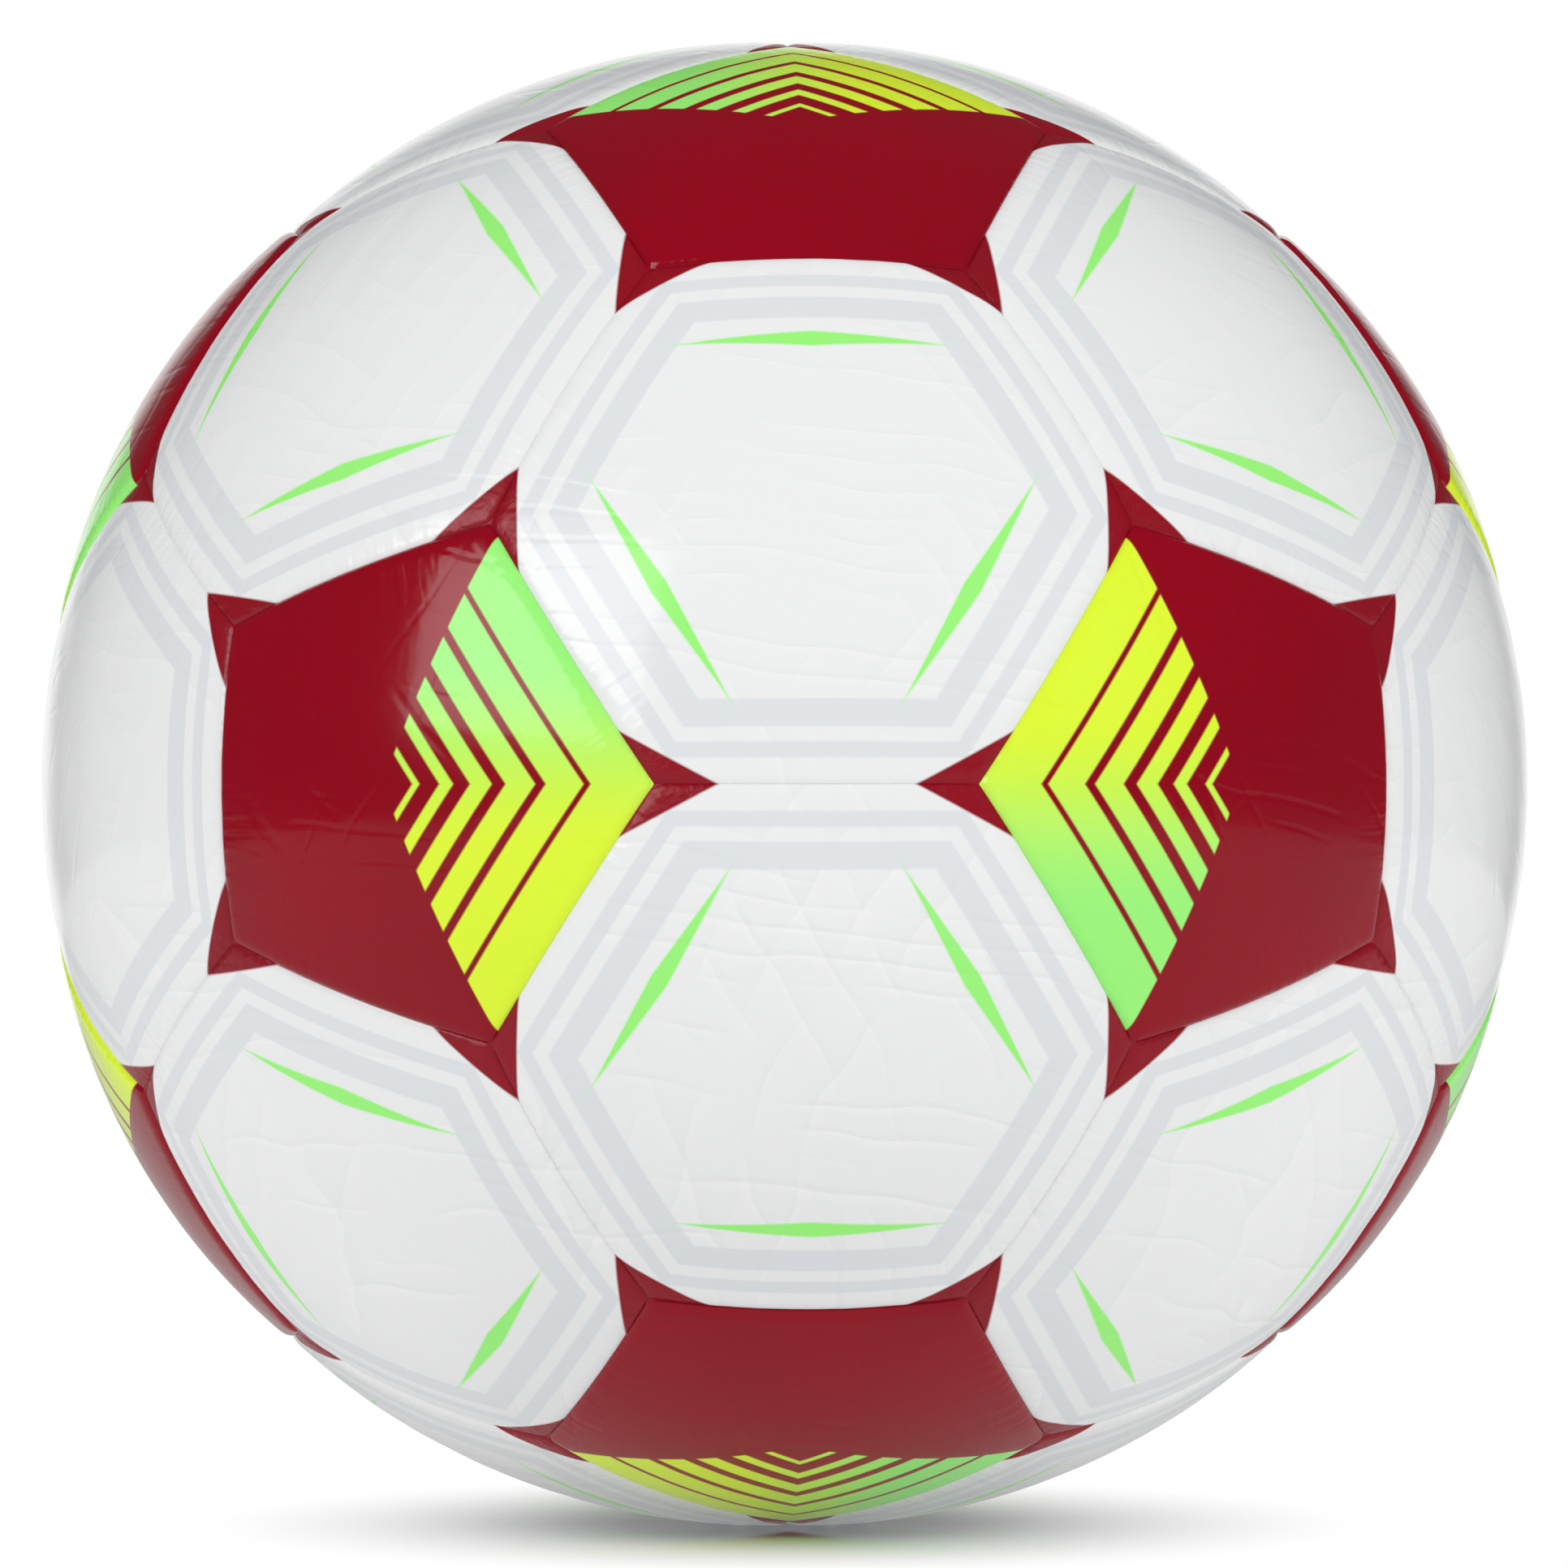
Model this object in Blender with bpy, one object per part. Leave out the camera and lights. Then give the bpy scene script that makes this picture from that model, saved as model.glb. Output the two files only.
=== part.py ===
"""Sewn soccer ball: padded panels over a rubber bladder with a needle valve.

Metres, +Z up, the front towards -Y, the origin at the ball's centre.
"""

import math

import bmesh
import bpy
from mathutils import Matrix, Vector

for old in list(bpy.data.objects):
    bpy.data.objects.remove(old, do_unlink=True)

# Whole ball: the tape round it, and the air between pieces that lie against each other
BALL_CIRCUMFERENCE = 0.690
SEAM_GAP = 0.0003
FIT_GAP = 0.0003

# Cover panels: a padded laminate whose edges round over into a sewn rim
PANEL_THICKNESS = 0.0036
HEXAGON_SETBACK = 0.0004
SEAM_FALL = 0.0016
SHOULDER_DROP = 0.0010
SHOULDER_WIDTH = 0.0026
LIP_HEIGHT = 0.0012
LIP_UNDERCUT = 0.0004
THREAD_ROOM = 0.0004
RIM_THICKNESS = 0.0016
RIM_DEPTH = 0.0020
SIDE_SEGMENTS = 3
CROWN_RING = 0.52
SHOULDER_RING = 0.3

# Thread that runs under the lips of every seam
THREAD_SIZE = 0.0010
THREAD_SEGMENTS = 2

# Bladder
BLADDER_WALL = 0.0008
BLADDER_RINGS = 9

# Valve, measured along its own axis from the ball's centre outwards
TURN_STEPS = 24
VALVE_COLLAR_RADIUS = 0.0050
VALVE_FACE_RECESS = 0.0004
VALVE_FLANGE_RADIUS = 0.0120
VALVE_FLANGE_THICKNESS = 0.0012
VALVE_STEM_RADIUS = 0.0042
VALVE_STEM_LENGTH = 0.0090
VALVE_BORE_RADIUS = 0.0025
VALVE_SEAT_RADIUS = 0.0037
VALVE_SEAT_DEPTH = 0.0014
VALVE_FOOT_THICKNESS = 0.0012
VALVE_FOOT_PASSAGE = 0.0012
INSERT_END_ROOM = 0.0010
NEEDLE_PASSAGE = 0.0009
FUNNEL_RADIUS = 0.0018
FUNNEL_DEPTH = 0.0012
PATCH_RADIUS = 0.0160
PATCH_THICKNESS = 0.0008

# Edges that bend more than this stay sharp when the pieces are shaded
SHARP_ANGLE = math.radians(40)

# Radii that follow from the sizes above
BALL_RADIUS = BALL_CIRCUMFERENCE / math.tau
SEAM_RADIUS = BALL_RADIUS - SEAM_FALL
SHOULDER_RADIUS = SEAM_RADIUS + SHOULDER_DROP
LIP_RADIUS = SEAM_RADIUS - LIP_HEIGHT
CHANNEL_RADIUS = LIP_RADIUS - LIP_UNDERCUT
CHANNEL_HALF_WIDTH = THREAD_SIZE / 2 + THREAD_ROOM
RIM_RADIUS = SHOULDER_RADIUS - PANEL_THICKNESS - RIM_DEPTH
THREAD_RADIUS = CHANNEL_RADIUS - FIT_GAP - THREAD_SIZE / 2
CROWN_RADIUS = {"pentagon": BALL_RADIUS, "hexagon": BALL_RADIUS - HEXAGON_SETBACK}
VALVE_HOLE_RADIUS = VALVE_COLLAR_RADIUS + FIT_GAP


def material(name, colour, roughness):
    made = bpy.data.materials.new(name)
    made.use_nodes = True
    shader = made.node_tree.nodes["Principled BSDF"]
    shader.inputs["Base Color"].default_value = (*colour, 1.0)
    shader.inputs["Roughness"].default_value = roughness
    shader.inputs["Metallic"].default_value = 0.0
    return made


COVER = {
    "pentagon": material("cover_red", (0.270, 0.002, 0.012), 0.30),
    "hexagon": material("cover_white", (0.850, 0.850, 0.860), 0.32),
}
THREAD = material("seam_thread", (0.720, 0.700, 0.670), 0.80)
BLADDER = material("bladder_rubber", (0.020, 0.020, 0.022), 0.60)
VALVE = material("valve_rubber", (0.045, 0.045, 0.050), 0.55)
INSERT = material("insert_rubber", (0.030, 0.030, 0.034), 0.50)
PATCH = material("patch_cloth", (0.560, 0.530, 0.470), 0.90)


def add_piece(name, bm, look, parent=None):
    """One closed solid as a named object, its faces turned outwards and its round stretches smooth."""
    bmesh.ops.recalc_face_normals(bm, faces=bm.faces)
    mesh = bpy.data.meshes.new(name)
    bm.to_mesh(mesh)
    bm.free()
    mesh.materials.append(look)
    piece = bpy.data.objects.new(name, mesh)
    bpy.context.collection.objects.link(piece)
    piece.parent = parent
    mesh.shade_smooth()
    mesh.set_sharp_from_angle(angle=SHARP_ANGLE)
    return piece


def loft(rings, first_pole=None, last_pole=None):
    """Skin over rings of equal point counts. With no poles the last ring joins the first."""
    bm = bmesh.new()
    rows = [[bm.verts.new(point) for point in ring] for ring in rings]
    count = len(rows[0])
    pairs = list(zip(rows, rows[1:]))
    if first_pole is None:
        pairs.append((rows[-1], rows[0]))
    for upper, lower in pairs:
        for i in range(count):
            j = (i + 1) % count
            bm.faces.new((upper[i], upper[j], lower[j], lower[i]))
    for row, pole in ((rows[0], first_pole), (rows[-1], last_pole)):
        if pole is None:
            continue
        tip = bm.verts.new(pole)
        for i in range(count):
            bm.faces.new((row[i], row[(i + 1) % count], tip))
    return bm


def turned(profile, closed):
    """A profile of (radius, height) points spun round Z. An open profile starts and ends on the axis."""
    bm = bmesh.new()
    points = [bm.verts.new((radius, 0.0, height)) for radius, height in profile]
    edges = [bm.edges.new(pair) for pair in zip(points, points[1:])]
    if closed:
        edges.append(bm.edges.new((points[-1], points[0])))
    bmesh.ops.spin(
        bm,
        geom=points + edges,
        cent=(0.0, 0.0, 0.0),
        axis=(0.0, 0.0, 1.0),
        angle=math.tau,
        steps=TURN_STEPS,
        use_merge=False,
    )
    bmesh.ops.remove_doubles(bm, verts=bm.verts, dist=1e-6)
    return bm


# The cage: an icosahedron with every corner cut off at a third of its edges.
# Its golden rectangles lie along X, Y and Z, so a hexagon seam crosses the middle of the front.
GOLDEN = (1 + 5**0.5) / 2
cage = bmesh.new()
for near in (-1.0, 1.0):
    for far in (-GOLDEN, GOLDEN):
        cage.verts.new((near, far, 0.0))
        cage.verts.new((0.0, near, far))
        cage.verts.new((far, 0.0, near))
bmesh.ops.convex_hull(cage, input=cage.verts)
bmesh.ops.bevel(
    cage,
    geom=cage.verts[:],
    offset=100 / 3,
    offset_type="PERCENT",
    segments=1,
    profile=0.5,
    affect="VERTICES",
)
for corner in cage.verts:
    corner.co.normalize()
cage.faces.ensure_lookup_table()


def panel_name(kind, axis):
    """Sides of the ball the panel faces, the main one first."""
    sides = (("front", "back", axis.y), ("bottom", "top", axis.z), ("left", "right", axis.x))
    facing = [(round(abs(part), 3), low if part < 0 else high) for low, high, part in sides if abs(part) > 0.1]
    facing.sort(key=lambda entry: -entry[0])
    return "_".join([kind] + [word for _, word in facing])


def panel_layout():
    """(name, kind, frame) of every panel. The frame's Z is the panel's axis, X points at a corner.

    On a hexagon the side that follows this corner borders a pentagon.
    """
    layout = []
    for face in cage.faces:
        kind = "pentagon" if len(face.verts) == 5 else "hexagon"
        axis = face.calc_center_median().normalized()
        loops = list(face.loops)
        start = 0
        if kind == "hexagon":
            start = next(i for i, loop in enumerate(loops) if len(loop.link_loop_radial_next.face.verts) == 5)
        corner = loops[start].vert.co
        across = (corner - axis * corner.dot(axis)).normalized()
        frame = Matrix((across, axis.cross(across), axis)).transposed()
        layout.append((panel_name(kind, axis), kind, frame))
    return sorted(layout, key=lambda entry: entry[0])


# Half the seam's length and the panel's half width, as angles at the ball's centre
LAYOUT = panel_layout()
seam = cage.faces[0].edges[0]
HALF_SEAM_ANGLE = seam.verts[0].co.angle(seam.verts[1].co) / 2
SIDES = {"pentagon": 5, "hexagon": 6}
CORNER_TAN = {kind: math.tan(math.asin(math.sin(HALF_SEAM_ANGLE) / math.sin(math.pi / SIDES[kind]))) for kind in SIDES}
MIDDLE_TAN = {kind: CORNER_TAN[kind] * math.cos(math.pi / SIDES[kind]) for kind in SIDES}


def outline(kind, segments=SIDE_SEGMENTS):
    """Points round the panel where it meets its seams, on the plane one unit out along its axis."""
    corners = []
    for i in range(SIDES[kind] + 1):
        turn = math.tau * i / SIDES[kind]
        corners.append(Vector((math.cos(turn), math.sin(turn), 0.0)) * CORNER_TAN[kind])
    points = []
    for first, second in zip(corners, corners[1:]):
        points += [first.lerp(second, i / segments) for i in range(segments)]
    return points


def inset(kind, distance):
    """Share of the outline that lies this far inside the seam."""
    middle = math.atan(MIDDLE_TAN[kind])
    return math.tan(middle - distance / BALL_RADIUS) / MIDDLE_TAN[kind]


def dome(kind, share):
    """Outer radius of the panel's crown, which falls from its middle to its shoulder."""
    return CROWN_RADIUS[kind] - (CROWN_RADIUS[kind] - SHOULDER_RADIUS) * share**2


def shoulder(distance):
    """Fall of the rounded edge, a quarter ellipse that ends upright at the seam."""
    along = 1.0 - min(distance / SHOULDER_WIDTH, 1.0)
    return SHOULDER_DROP * (1.0 - math.sqrt(max(0.0, 1.0 - along**2)))


def ring(kind, share, radius, segments=SIDE_SEGMENTS):
    """The outline drawn in to a share of its size, on the sphere of this radius."""
    up = Vector((0.0, 0.0, 1.0))
    return [(up + point * share).normalized() * radius for point in outline(kind, segments)]


def circle(kind, around, height):
    """A round ring with its points in line with the outline's."""
    return [(*(point.xy.normalized() * around), height) for point in outline(kind)]


def edge_rings(kind):
    """Crown ring, rounded shoulder, lip, thread channel and turned-in rim, from outside to inside."""
    edge = SEAM_GAP / 2
    turn_over = SHOULDER_WIDTH * SHOULDER_RING
    rings = [ring(kind, CROWN_RING, dome(kind, CROWN_RING))]
    for distance in (SHOULDER_WIDTH, turn_over, edge):
        share = inset(kind, distance)
        rings.append(ring(kind, share, dome(kind, share) - shoulder(distance)))
    inner = CHANNEL_HALF_WIDTH + RIM_THICKNESS
    rings += [
        ring(kind, inset(kind, edge), LIP_RADIUS),
        ring(kind, inset(kind, CHANNEL_HALF_WIDTH), CHANNEL_RADIUS),
        ring(kind, inset(kind, CHANNEL_HALF_WIDTH), RIM_RADIUS),
        ring(kind, inset(kind, inner), RIM_RADIUS),
        ring(kind, inset(kind, inner), SHOULDER_RADIUS - PANEL_THICKNESS),
    ]
    return rings


def panel(kind):
    """A whole panel, closed over its crown outside and inside."""
    crown = CROWN_RADIUS[kind]
    inside = ring(kind, CROWN_RING, dome(kind, CROWN_RING) - PANEL_THICKNESS)
    return loft(edge_rings(kind) + [inside], (0.0, 0.0, crown), (0.0, 0.0, crown - PANEL_THICKNESS))


# Heights along the valve's axis, in the hexagon that holds it
VALVE_KIND = "hexagon"
VALVE_PANEL = "hexagon_back_top"
PANEL_TOP = math.sqrt(CROWN_RADIUS[VALVE_KIND] ** 2 - VALVE_HOLE_RADIUS**2)
INNER_CROWN = CROWN_RADIUS[VALVE_KIND] - PANEL_THICKNESS
HOLE_HEIGHT = math.sqrt(INNER_CROWN**2 - VALVE_HOLE_RADIUS**2)
PATCH_HEIGHT = math.sqrt(INNER_CROWN**2 - PATCH_RADIUS**2)


def valve_panel():
    """The panel with a round valve hole, flat-sided inside where the patch lies."""
    rings = [circle(VALVE_KIND, VALVE_HOLE_RADIUS, PANEL_TOP)]
    rings += edge_rings(VALVE_KIND)
    rings.append(circle(VALVE_KIND, PATCH_RADIUS, PATCH_HEIGHT))
    rings.append(circle(VALVE_KIND, VALVE_HOLE_RADIUS, HOLE_HEIGHT))
    return loft(rings)


def patch():
    """A cloth ring that follows the panel's inner face round the valve hole."""
    upper = FIT_GAP
    lower = FIT_GAP + PATCH_THICKNESS
    rings = [
        circle(VALVE_KIND, VALVE_HOLE_RADIUS, HOLE_HEIGHT - upper),
        circle(VALVE_KIND, PATCH_RADIUS, PATCH_HEIGHT - upper),
        circle(VALVE_KIND, PATCH_RADIUS, PATCH_HEIGHT - lower),
        circle(VALVE_KIND, VALVE_HOLE_RADIUS, HOLE_HEIGHT - lower),
    ]
    return loft(rings)


for name, kind, frame in LAYOUT:
    shape = valve_panel() if name == VALVE_PANEL else panel(kind)
    placed = add_piece(name, shape, COVER[kind])
    placed.rotation_mode = "QUATERNION"
    placed.rotation_quaternion = frame.to_quaternion()



def thread_net():
    """One net of diamond cord: every panel brings the quarter that faces it, and the seams weld them."""
    half = THREAD_SIZE / 2
    net = bmesh.new()
    for _, kind, frame in LAYOUT:
        rings = [
            ring(kind, 1.0, THREAD_RADIUS + half, THREAD_SEGMENTS),
            ring(kind, inset(kind, half), THREAD_RADIUS, THREAD_SEGMENTS),
            ring(kind, 1.0, THREAD_RADIUS - half, THREAD_SEGMENTS),
        ]
        rows = [[net.verts.new(frame @ point) for point in points] for points in rings]
        for outer, inner in zip(rows, rows[1:]):
            for i in range(len(outer)):
                j = (i + 1) % len(outer)
                net.faces.new((outer[i], outer[j], inner[j], inner[i]))
    bmesh.ops.remove_doubles(net, verts=net.verts, dist=1e-6)
    return net


add_piece("seam_thread", thread_net(), THREAD)
cage.free()

# Everything on the valve's line hangs on one axis through the ball's centre.
valve_axis = bpy.data.objects.new("valve_axis", None)
bpy.context.collection.objects.link(valve_axis)
valve_axis.rotation_mode = "QUATERNION"
valve_axis.rotation_quaternion = next(frame for name, _, frame in LAYOUT if name == VALVE_PANEL).to_quaternion()

# The bladder just clears the flat facets under the rims.
FACET = math.cos(HALF_SEAM_ANGLE / SIDE_SEGMENTS)
BLADDER_RADIUS = RIM_RADIUS * FACET - FIT_GAP
BLADDER_INSIDE = BLADDER_RADIUS - BLADDER_WALL
COLLAR_RING = VALVE_FLANGE_RADIUS + FIT_GAP


def bladder_arc(radius):
    """Points of a wall from the valve opening to the far pole."""
    points = [(VALVE_HOLE_RADIUS, math.sqrt(radius**2 - VALVE_HOLE_RADIUS**2))]
    start = math.asin(COLLAR_RING / radius)
    for i in range(BLADDER_RINGS + 1):
        turn = start + (math.pi - start) * i / BLADDER_RINGS
        points.append((radius * math.sin(turn), radius * math.cos(turn)))
    points[-1] = (0.0, -radius)
    return points


outer_arc = bladder_arc(BLADDER_RADIUS)
inner_arc = bladder_arc(BLADDER_INSIDE)
add_piece("bladder", turned(outer_arc[::-1] + inner_arc, False), BLADDER, valve_axis)


def under_bladder(around):
    """Height of the bladder's inner wall at this distance from the valve's axis, less the fit gap."""
    (r0, h0), (r1, h1) = inner_arc[:2]
    return h0 + (h1 - h0) * (around - r0) / (r1 - r0) - FIT_GAP


# Valve housing: collar through bladder, patch and panel, flange inside the bladder, stem with a foot.
VALVE_FACE = CROWN_RADIUS[VALVE_KIND] - VALVE_FACE_RECESS
FLANGE_EDGE = under_bladder(VALVE_FLANGE_RADIUS)
FLANGE_UNDER = FLANGE_EDGE - VALVE_FLANGE_THICKNESS
STEM_END = FLANGE_UNDER - VALVE_STEM_LENGTH
SEAT = VALVE_FACE - VALVE_SEAT_DEPTH
FOOT = STEM_END + VALVE_FOOT_THICKNESS
housing = [
    (VALVE_SEAT_RADIUS, VALVE_FACE),
    (VALVE_COLLAR_RADIUS, VALVE_FACE),
    (VALVE_COLLAR_RADIUS, under_bladder(VALVE_COLLAR_RADIUS)),
    (VALVE_FLANGE_RADIUS, FLANGE_EDGE),
    (VALVE_FLANGE_RADIUS, FLANGE_UNDER),
    (VALVE_STEM_RADIUS, FLANGE_UNDER),
    (VALVE_STEM_RADIUS, STEM_END),
    (VALVE_FOOT_PASSAGE, STEM_END),
    (VALVE_FOOT_PASSAGE, FOOT),
    (VALVE_BORE_RADIUS, FOOT),
    (VALVE_BORE_RADIUS, SEAT),
    (VALVE_SEAT_RADIUS, SEAT),
]
add_piece("valve_housing", turned(housing, True), VALVE, valve_axis)
add_piece("valve_patch", patch(), PATCH, valve_axis)

# Valve insert: a plug with a broad head and a needle passage that opens in a funnel.
HEAD_RADIUS = VALVE_SEAT_RADIUS - FIT_GAP
PLUG_RADIUS = VALVE_BORE_RADIUS - FIT_GAP
HEAD_UNDER = SEAT + FIT_GAP
PLUG_END = FOOT + INSERT_END_ROOM
insert = [
    (FUNNEL_RADIUS, VALVE_FACE),
    (HEAD_RADIUS, VALVE_FACE),
    (HEAD_RADIUS, HEAD_UNDER),
    (PLUG_RADIUS, HEAD_UNDER),
    (PLUG_RADIUS, PLUG_END),
    (NEEDLE_PASSAGE, PLUG_END),
    (NEEDLE_PASSAGE, VALVE_FACE - FUNNEL_DEPTH),
]
add_piece("valve_insert", turned(insert, True), INSERT, valve_axis)
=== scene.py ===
# %% [markdown]
# # Finishing a sewn soccer ball
#
# The frame holds the ball as measured solids: thirty-two cover panels, the
# thread in their seams, a bladder and a valve. This lesson gives each of them
# the surface that an eye would see. All lengths are metres, the ball's centre
# is the origin, +Z is up and the front looks towards -Y.

# %% Load the frame and keep its box
import functools
import itertools
import math

import bmesh
import bpy
import numpy as np
from mathutils import Matrix, Quaternion, Vector


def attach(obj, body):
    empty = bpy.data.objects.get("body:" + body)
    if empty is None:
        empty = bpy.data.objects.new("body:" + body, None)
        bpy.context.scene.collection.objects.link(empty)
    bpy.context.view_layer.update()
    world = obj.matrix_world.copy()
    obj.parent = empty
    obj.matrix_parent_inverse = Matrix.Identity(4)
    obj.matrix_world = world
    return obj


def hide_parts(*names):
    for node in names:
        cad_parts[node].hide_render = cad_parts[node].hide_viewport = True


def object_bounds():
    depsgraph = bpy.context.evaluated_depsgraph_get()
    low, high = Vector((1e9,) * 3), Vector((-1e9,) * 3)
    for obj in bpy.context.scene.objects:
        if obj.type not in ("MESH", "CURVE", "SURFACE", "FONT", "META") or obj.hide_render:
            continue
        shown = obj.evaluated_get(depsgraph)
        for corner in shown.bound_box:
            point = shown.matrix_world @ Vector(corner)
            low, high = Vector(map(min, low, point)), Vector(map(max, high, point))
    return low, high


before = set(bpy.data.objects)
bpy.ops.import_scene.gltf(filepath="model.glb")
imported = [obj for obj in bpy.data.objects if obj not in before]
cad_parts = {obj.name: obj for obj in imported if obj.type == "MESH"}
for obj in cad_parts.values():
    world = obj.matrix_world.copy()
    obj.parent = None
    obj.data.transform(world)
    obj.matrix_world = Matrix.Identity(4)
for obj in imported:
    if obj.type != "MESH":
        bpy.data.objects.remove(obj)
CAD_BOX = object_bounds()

print("CAD box, mm:", [round(1000 * side, 2) for side in CAD_BOX[1] - CAD_BOX[0]])

# %% [markdown]
# ## Where the panels lie
#
# A sewn ball of this kind is a truncated icosahedron blown up tight: twelve
# pentagons, each ringed by hexagons. One could rebuild that polyhedron here,
# but the frame already holds every panel in its place, so its axis is read from
# the node's own points. Each panel also needs a direction for its print. On a
# pentagon that is the corner which points at the nearest of the X, Y and Z axes,
# and on a hexagon the corner before a side that borders a pentagon.

# %% Read the panels
SIDES = {"pentagon": 5, "hexagon": 6}


def node_points(name):
    """The points of one CAD node, as rows of x, y and z."""
    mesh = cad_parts[name].data
    flat = np.empty(len(mesh.vertices) * 3, np.float32)
    mesh.vertices.foreach_get("co", flat)
    return flat.reshape(-1, 3).astype(float)


def kind_of(name):
    return name.split("_")[0]


panel_axes = {}
for name in sorted(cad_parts):
    if kind_of(name) in SIDES:
        panel_axes[name] = Vector(node_points(name).mean(axis=0)).normalized()


def panel_frame(name):
    """The panel's own directions: X at its first corner, Z out of the ball."""
    axis = panel_axes[name]
    if kind_of(name) == "pentagon":
        main = max(range(3), key=lambda i: abs(axis[i]))
        pointer = Vector((0.0, 0.0, 0.0))
        pointer[main] = math.copysign(1.0, axis[main])
        turn = 0.0
    else:
        pentagons = [other for other in panel_axes if kind_of(other) == "pentagon"]
        nearest = min(pentagons, key=lambda other: (-round(axis.dot(panel_axes[other]), 3), other))
        pointer = panel_axes[nearest]
        turn = -math.pi / SIDES["hexagon"]
    across = (pointer - axis * pointer.dot(axis)).normalized()
    across.rotate(Quaternion(axis, turn))
    return Matrix((across, axis.cross(across), axis)).transposed()


FRAMES = {name: panel_frame(name) for name in panel_axes}
print("panels:", {kind: sum(kind_of(name) == kind for name in FRAMES) for kind in SIDES})

# %% [markdown]
# ## Sizes that the finish has to respect
#
# The crown of a panel is its highest point. On this ball the pentagons stand a
# little prouder than the hexagons, and the seams lie lower than both. A finish
# must not make the ball bigger than its frame, so the height of the hexagon
# edges is taken from the frame's box, which ends at seams between hexagons.

# %% Measure crowns and seams
CROWN = dict.fromkeys(SIDES, 0.0)
for name in FRAMES:
    highest = np.linalg.norm(node_points(name), axis=1).max()
    CROWN[kind_of(name)] = max(CROWN[kind_of(name)], highest)
BALL_RADIUS = CROWN["pentagon"]
HALF_BOX = CAD_BOX[1].z

# Half a seam as an angle at the ball's centre, from the edge and radius of the polyhedron
HALF_SEAM = math.asin(2.0 / math.sqrt(58.0 + 18.0 * math.sqrt(5.0)))
CORNER_TAN = {}
MIDDLE_TAN = {}
for kind, sides in SIDES.items():
    CORNER_TAN[kind] = math.tan(math.asin(math.sin(HALF_SEAM) / math.sin(math.pi / sides)))
    MIDDLE_TAN[kind] = CORNER_TAN[kind] * math.cos(math.pi / sides)

# The sewn edge: where the dome ends, how far it falls into the seam, and how wide it rolls over
EDGE_SPARE = 0.00010
SEAM_FALL = 0.00048
PENTAGON_STEP = 0.00030
EDGE_ROLL = 0.00220
HEXAGON_EDGE = HALF_BOX - EDGE_SPARE
EDGE_RADIUS = {"hexagon": HEXAGON_EDGE, "pentagon": HEXAGON_EDGE + PENTAGON_STEP}
EDGE_FALL = {"hexagon": SEAM_FALL, "pentagon": SEAM_FALL + PENTAGON_STEP}
print("crowns, mm:", {kind: round(1000 * radius, 3) for kind, radius in CROWN.items()})
print("half box, mm:", round(1000 * HALF_BOX, 3))

# %% [markdown]
# ## Die-cut blanks
#
# In the factory a panel starts as a flat blank, stamped out of a laminate of
# coated fabric and foam. Here the blank is a flat mesh on a plane one unit from
# the ball's centre, where the seams, which are great circles, are straight
# lines. A fan of triangles would pinch the middle, so each corner gets a kite
# of quads that meet in the centre, with rows that crowd towards the seam where
# the surface bends most.

# %% Rows of a blank
ROWS = 32
# The rows nearest the seam, by their distance from it
SEAM_ROWS = (0.000008, 0.00003, 0.00014, 0.00034, 0.00062, 0.00100, 0.00150, 0.00212, 0.00290)


def inset(kind, distance):
    """Share of the panel's outline that lies this far inside its seam."""
    middle = math.atan(MIDDLE_TAN[kind])
    return math.tan(middle - distance / BALL_RADIUS) / MIDDLE_TAN[kind]


def row_shares(kind):
    """Where the rows of a kite lie, from the panel's middle (0) to its seam (1)."""
    half_width = math.atan(MIDDLE_TAN[kind]) * BALL_RADIUS
    coarse = np.linspace(half_width, SEAM_ROWS[-1], ROWS - len(SEAM_ROWS) + 2)[:-1]
    return [inset(kind, distance) for distance in (*coarse, *SEAM_ROWS[::-1])]


for kind in SIDES:
    print(kind, "rows:", ROWS, "with the last at", round(row_shares(kind)[-1], 5), "of the way to the seam")

# %% [markdown]
# Each point of a blank carries measures for the forming: the distances to the
# two nearest seams, its place along the nearest one, its share of the way there
# and its depth behind the outer side. They could be worked out from the domed
# panel too, but on the flat blank each of them is a line of arithmetic.

# %% Points and faces of a blank
MEASURES = ("near_seam", "next_seam", "along_seam", "share", "depth")
# Keeps the places along one side apart from those along the next
SIDE_OFFSET = 1.0


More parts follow.
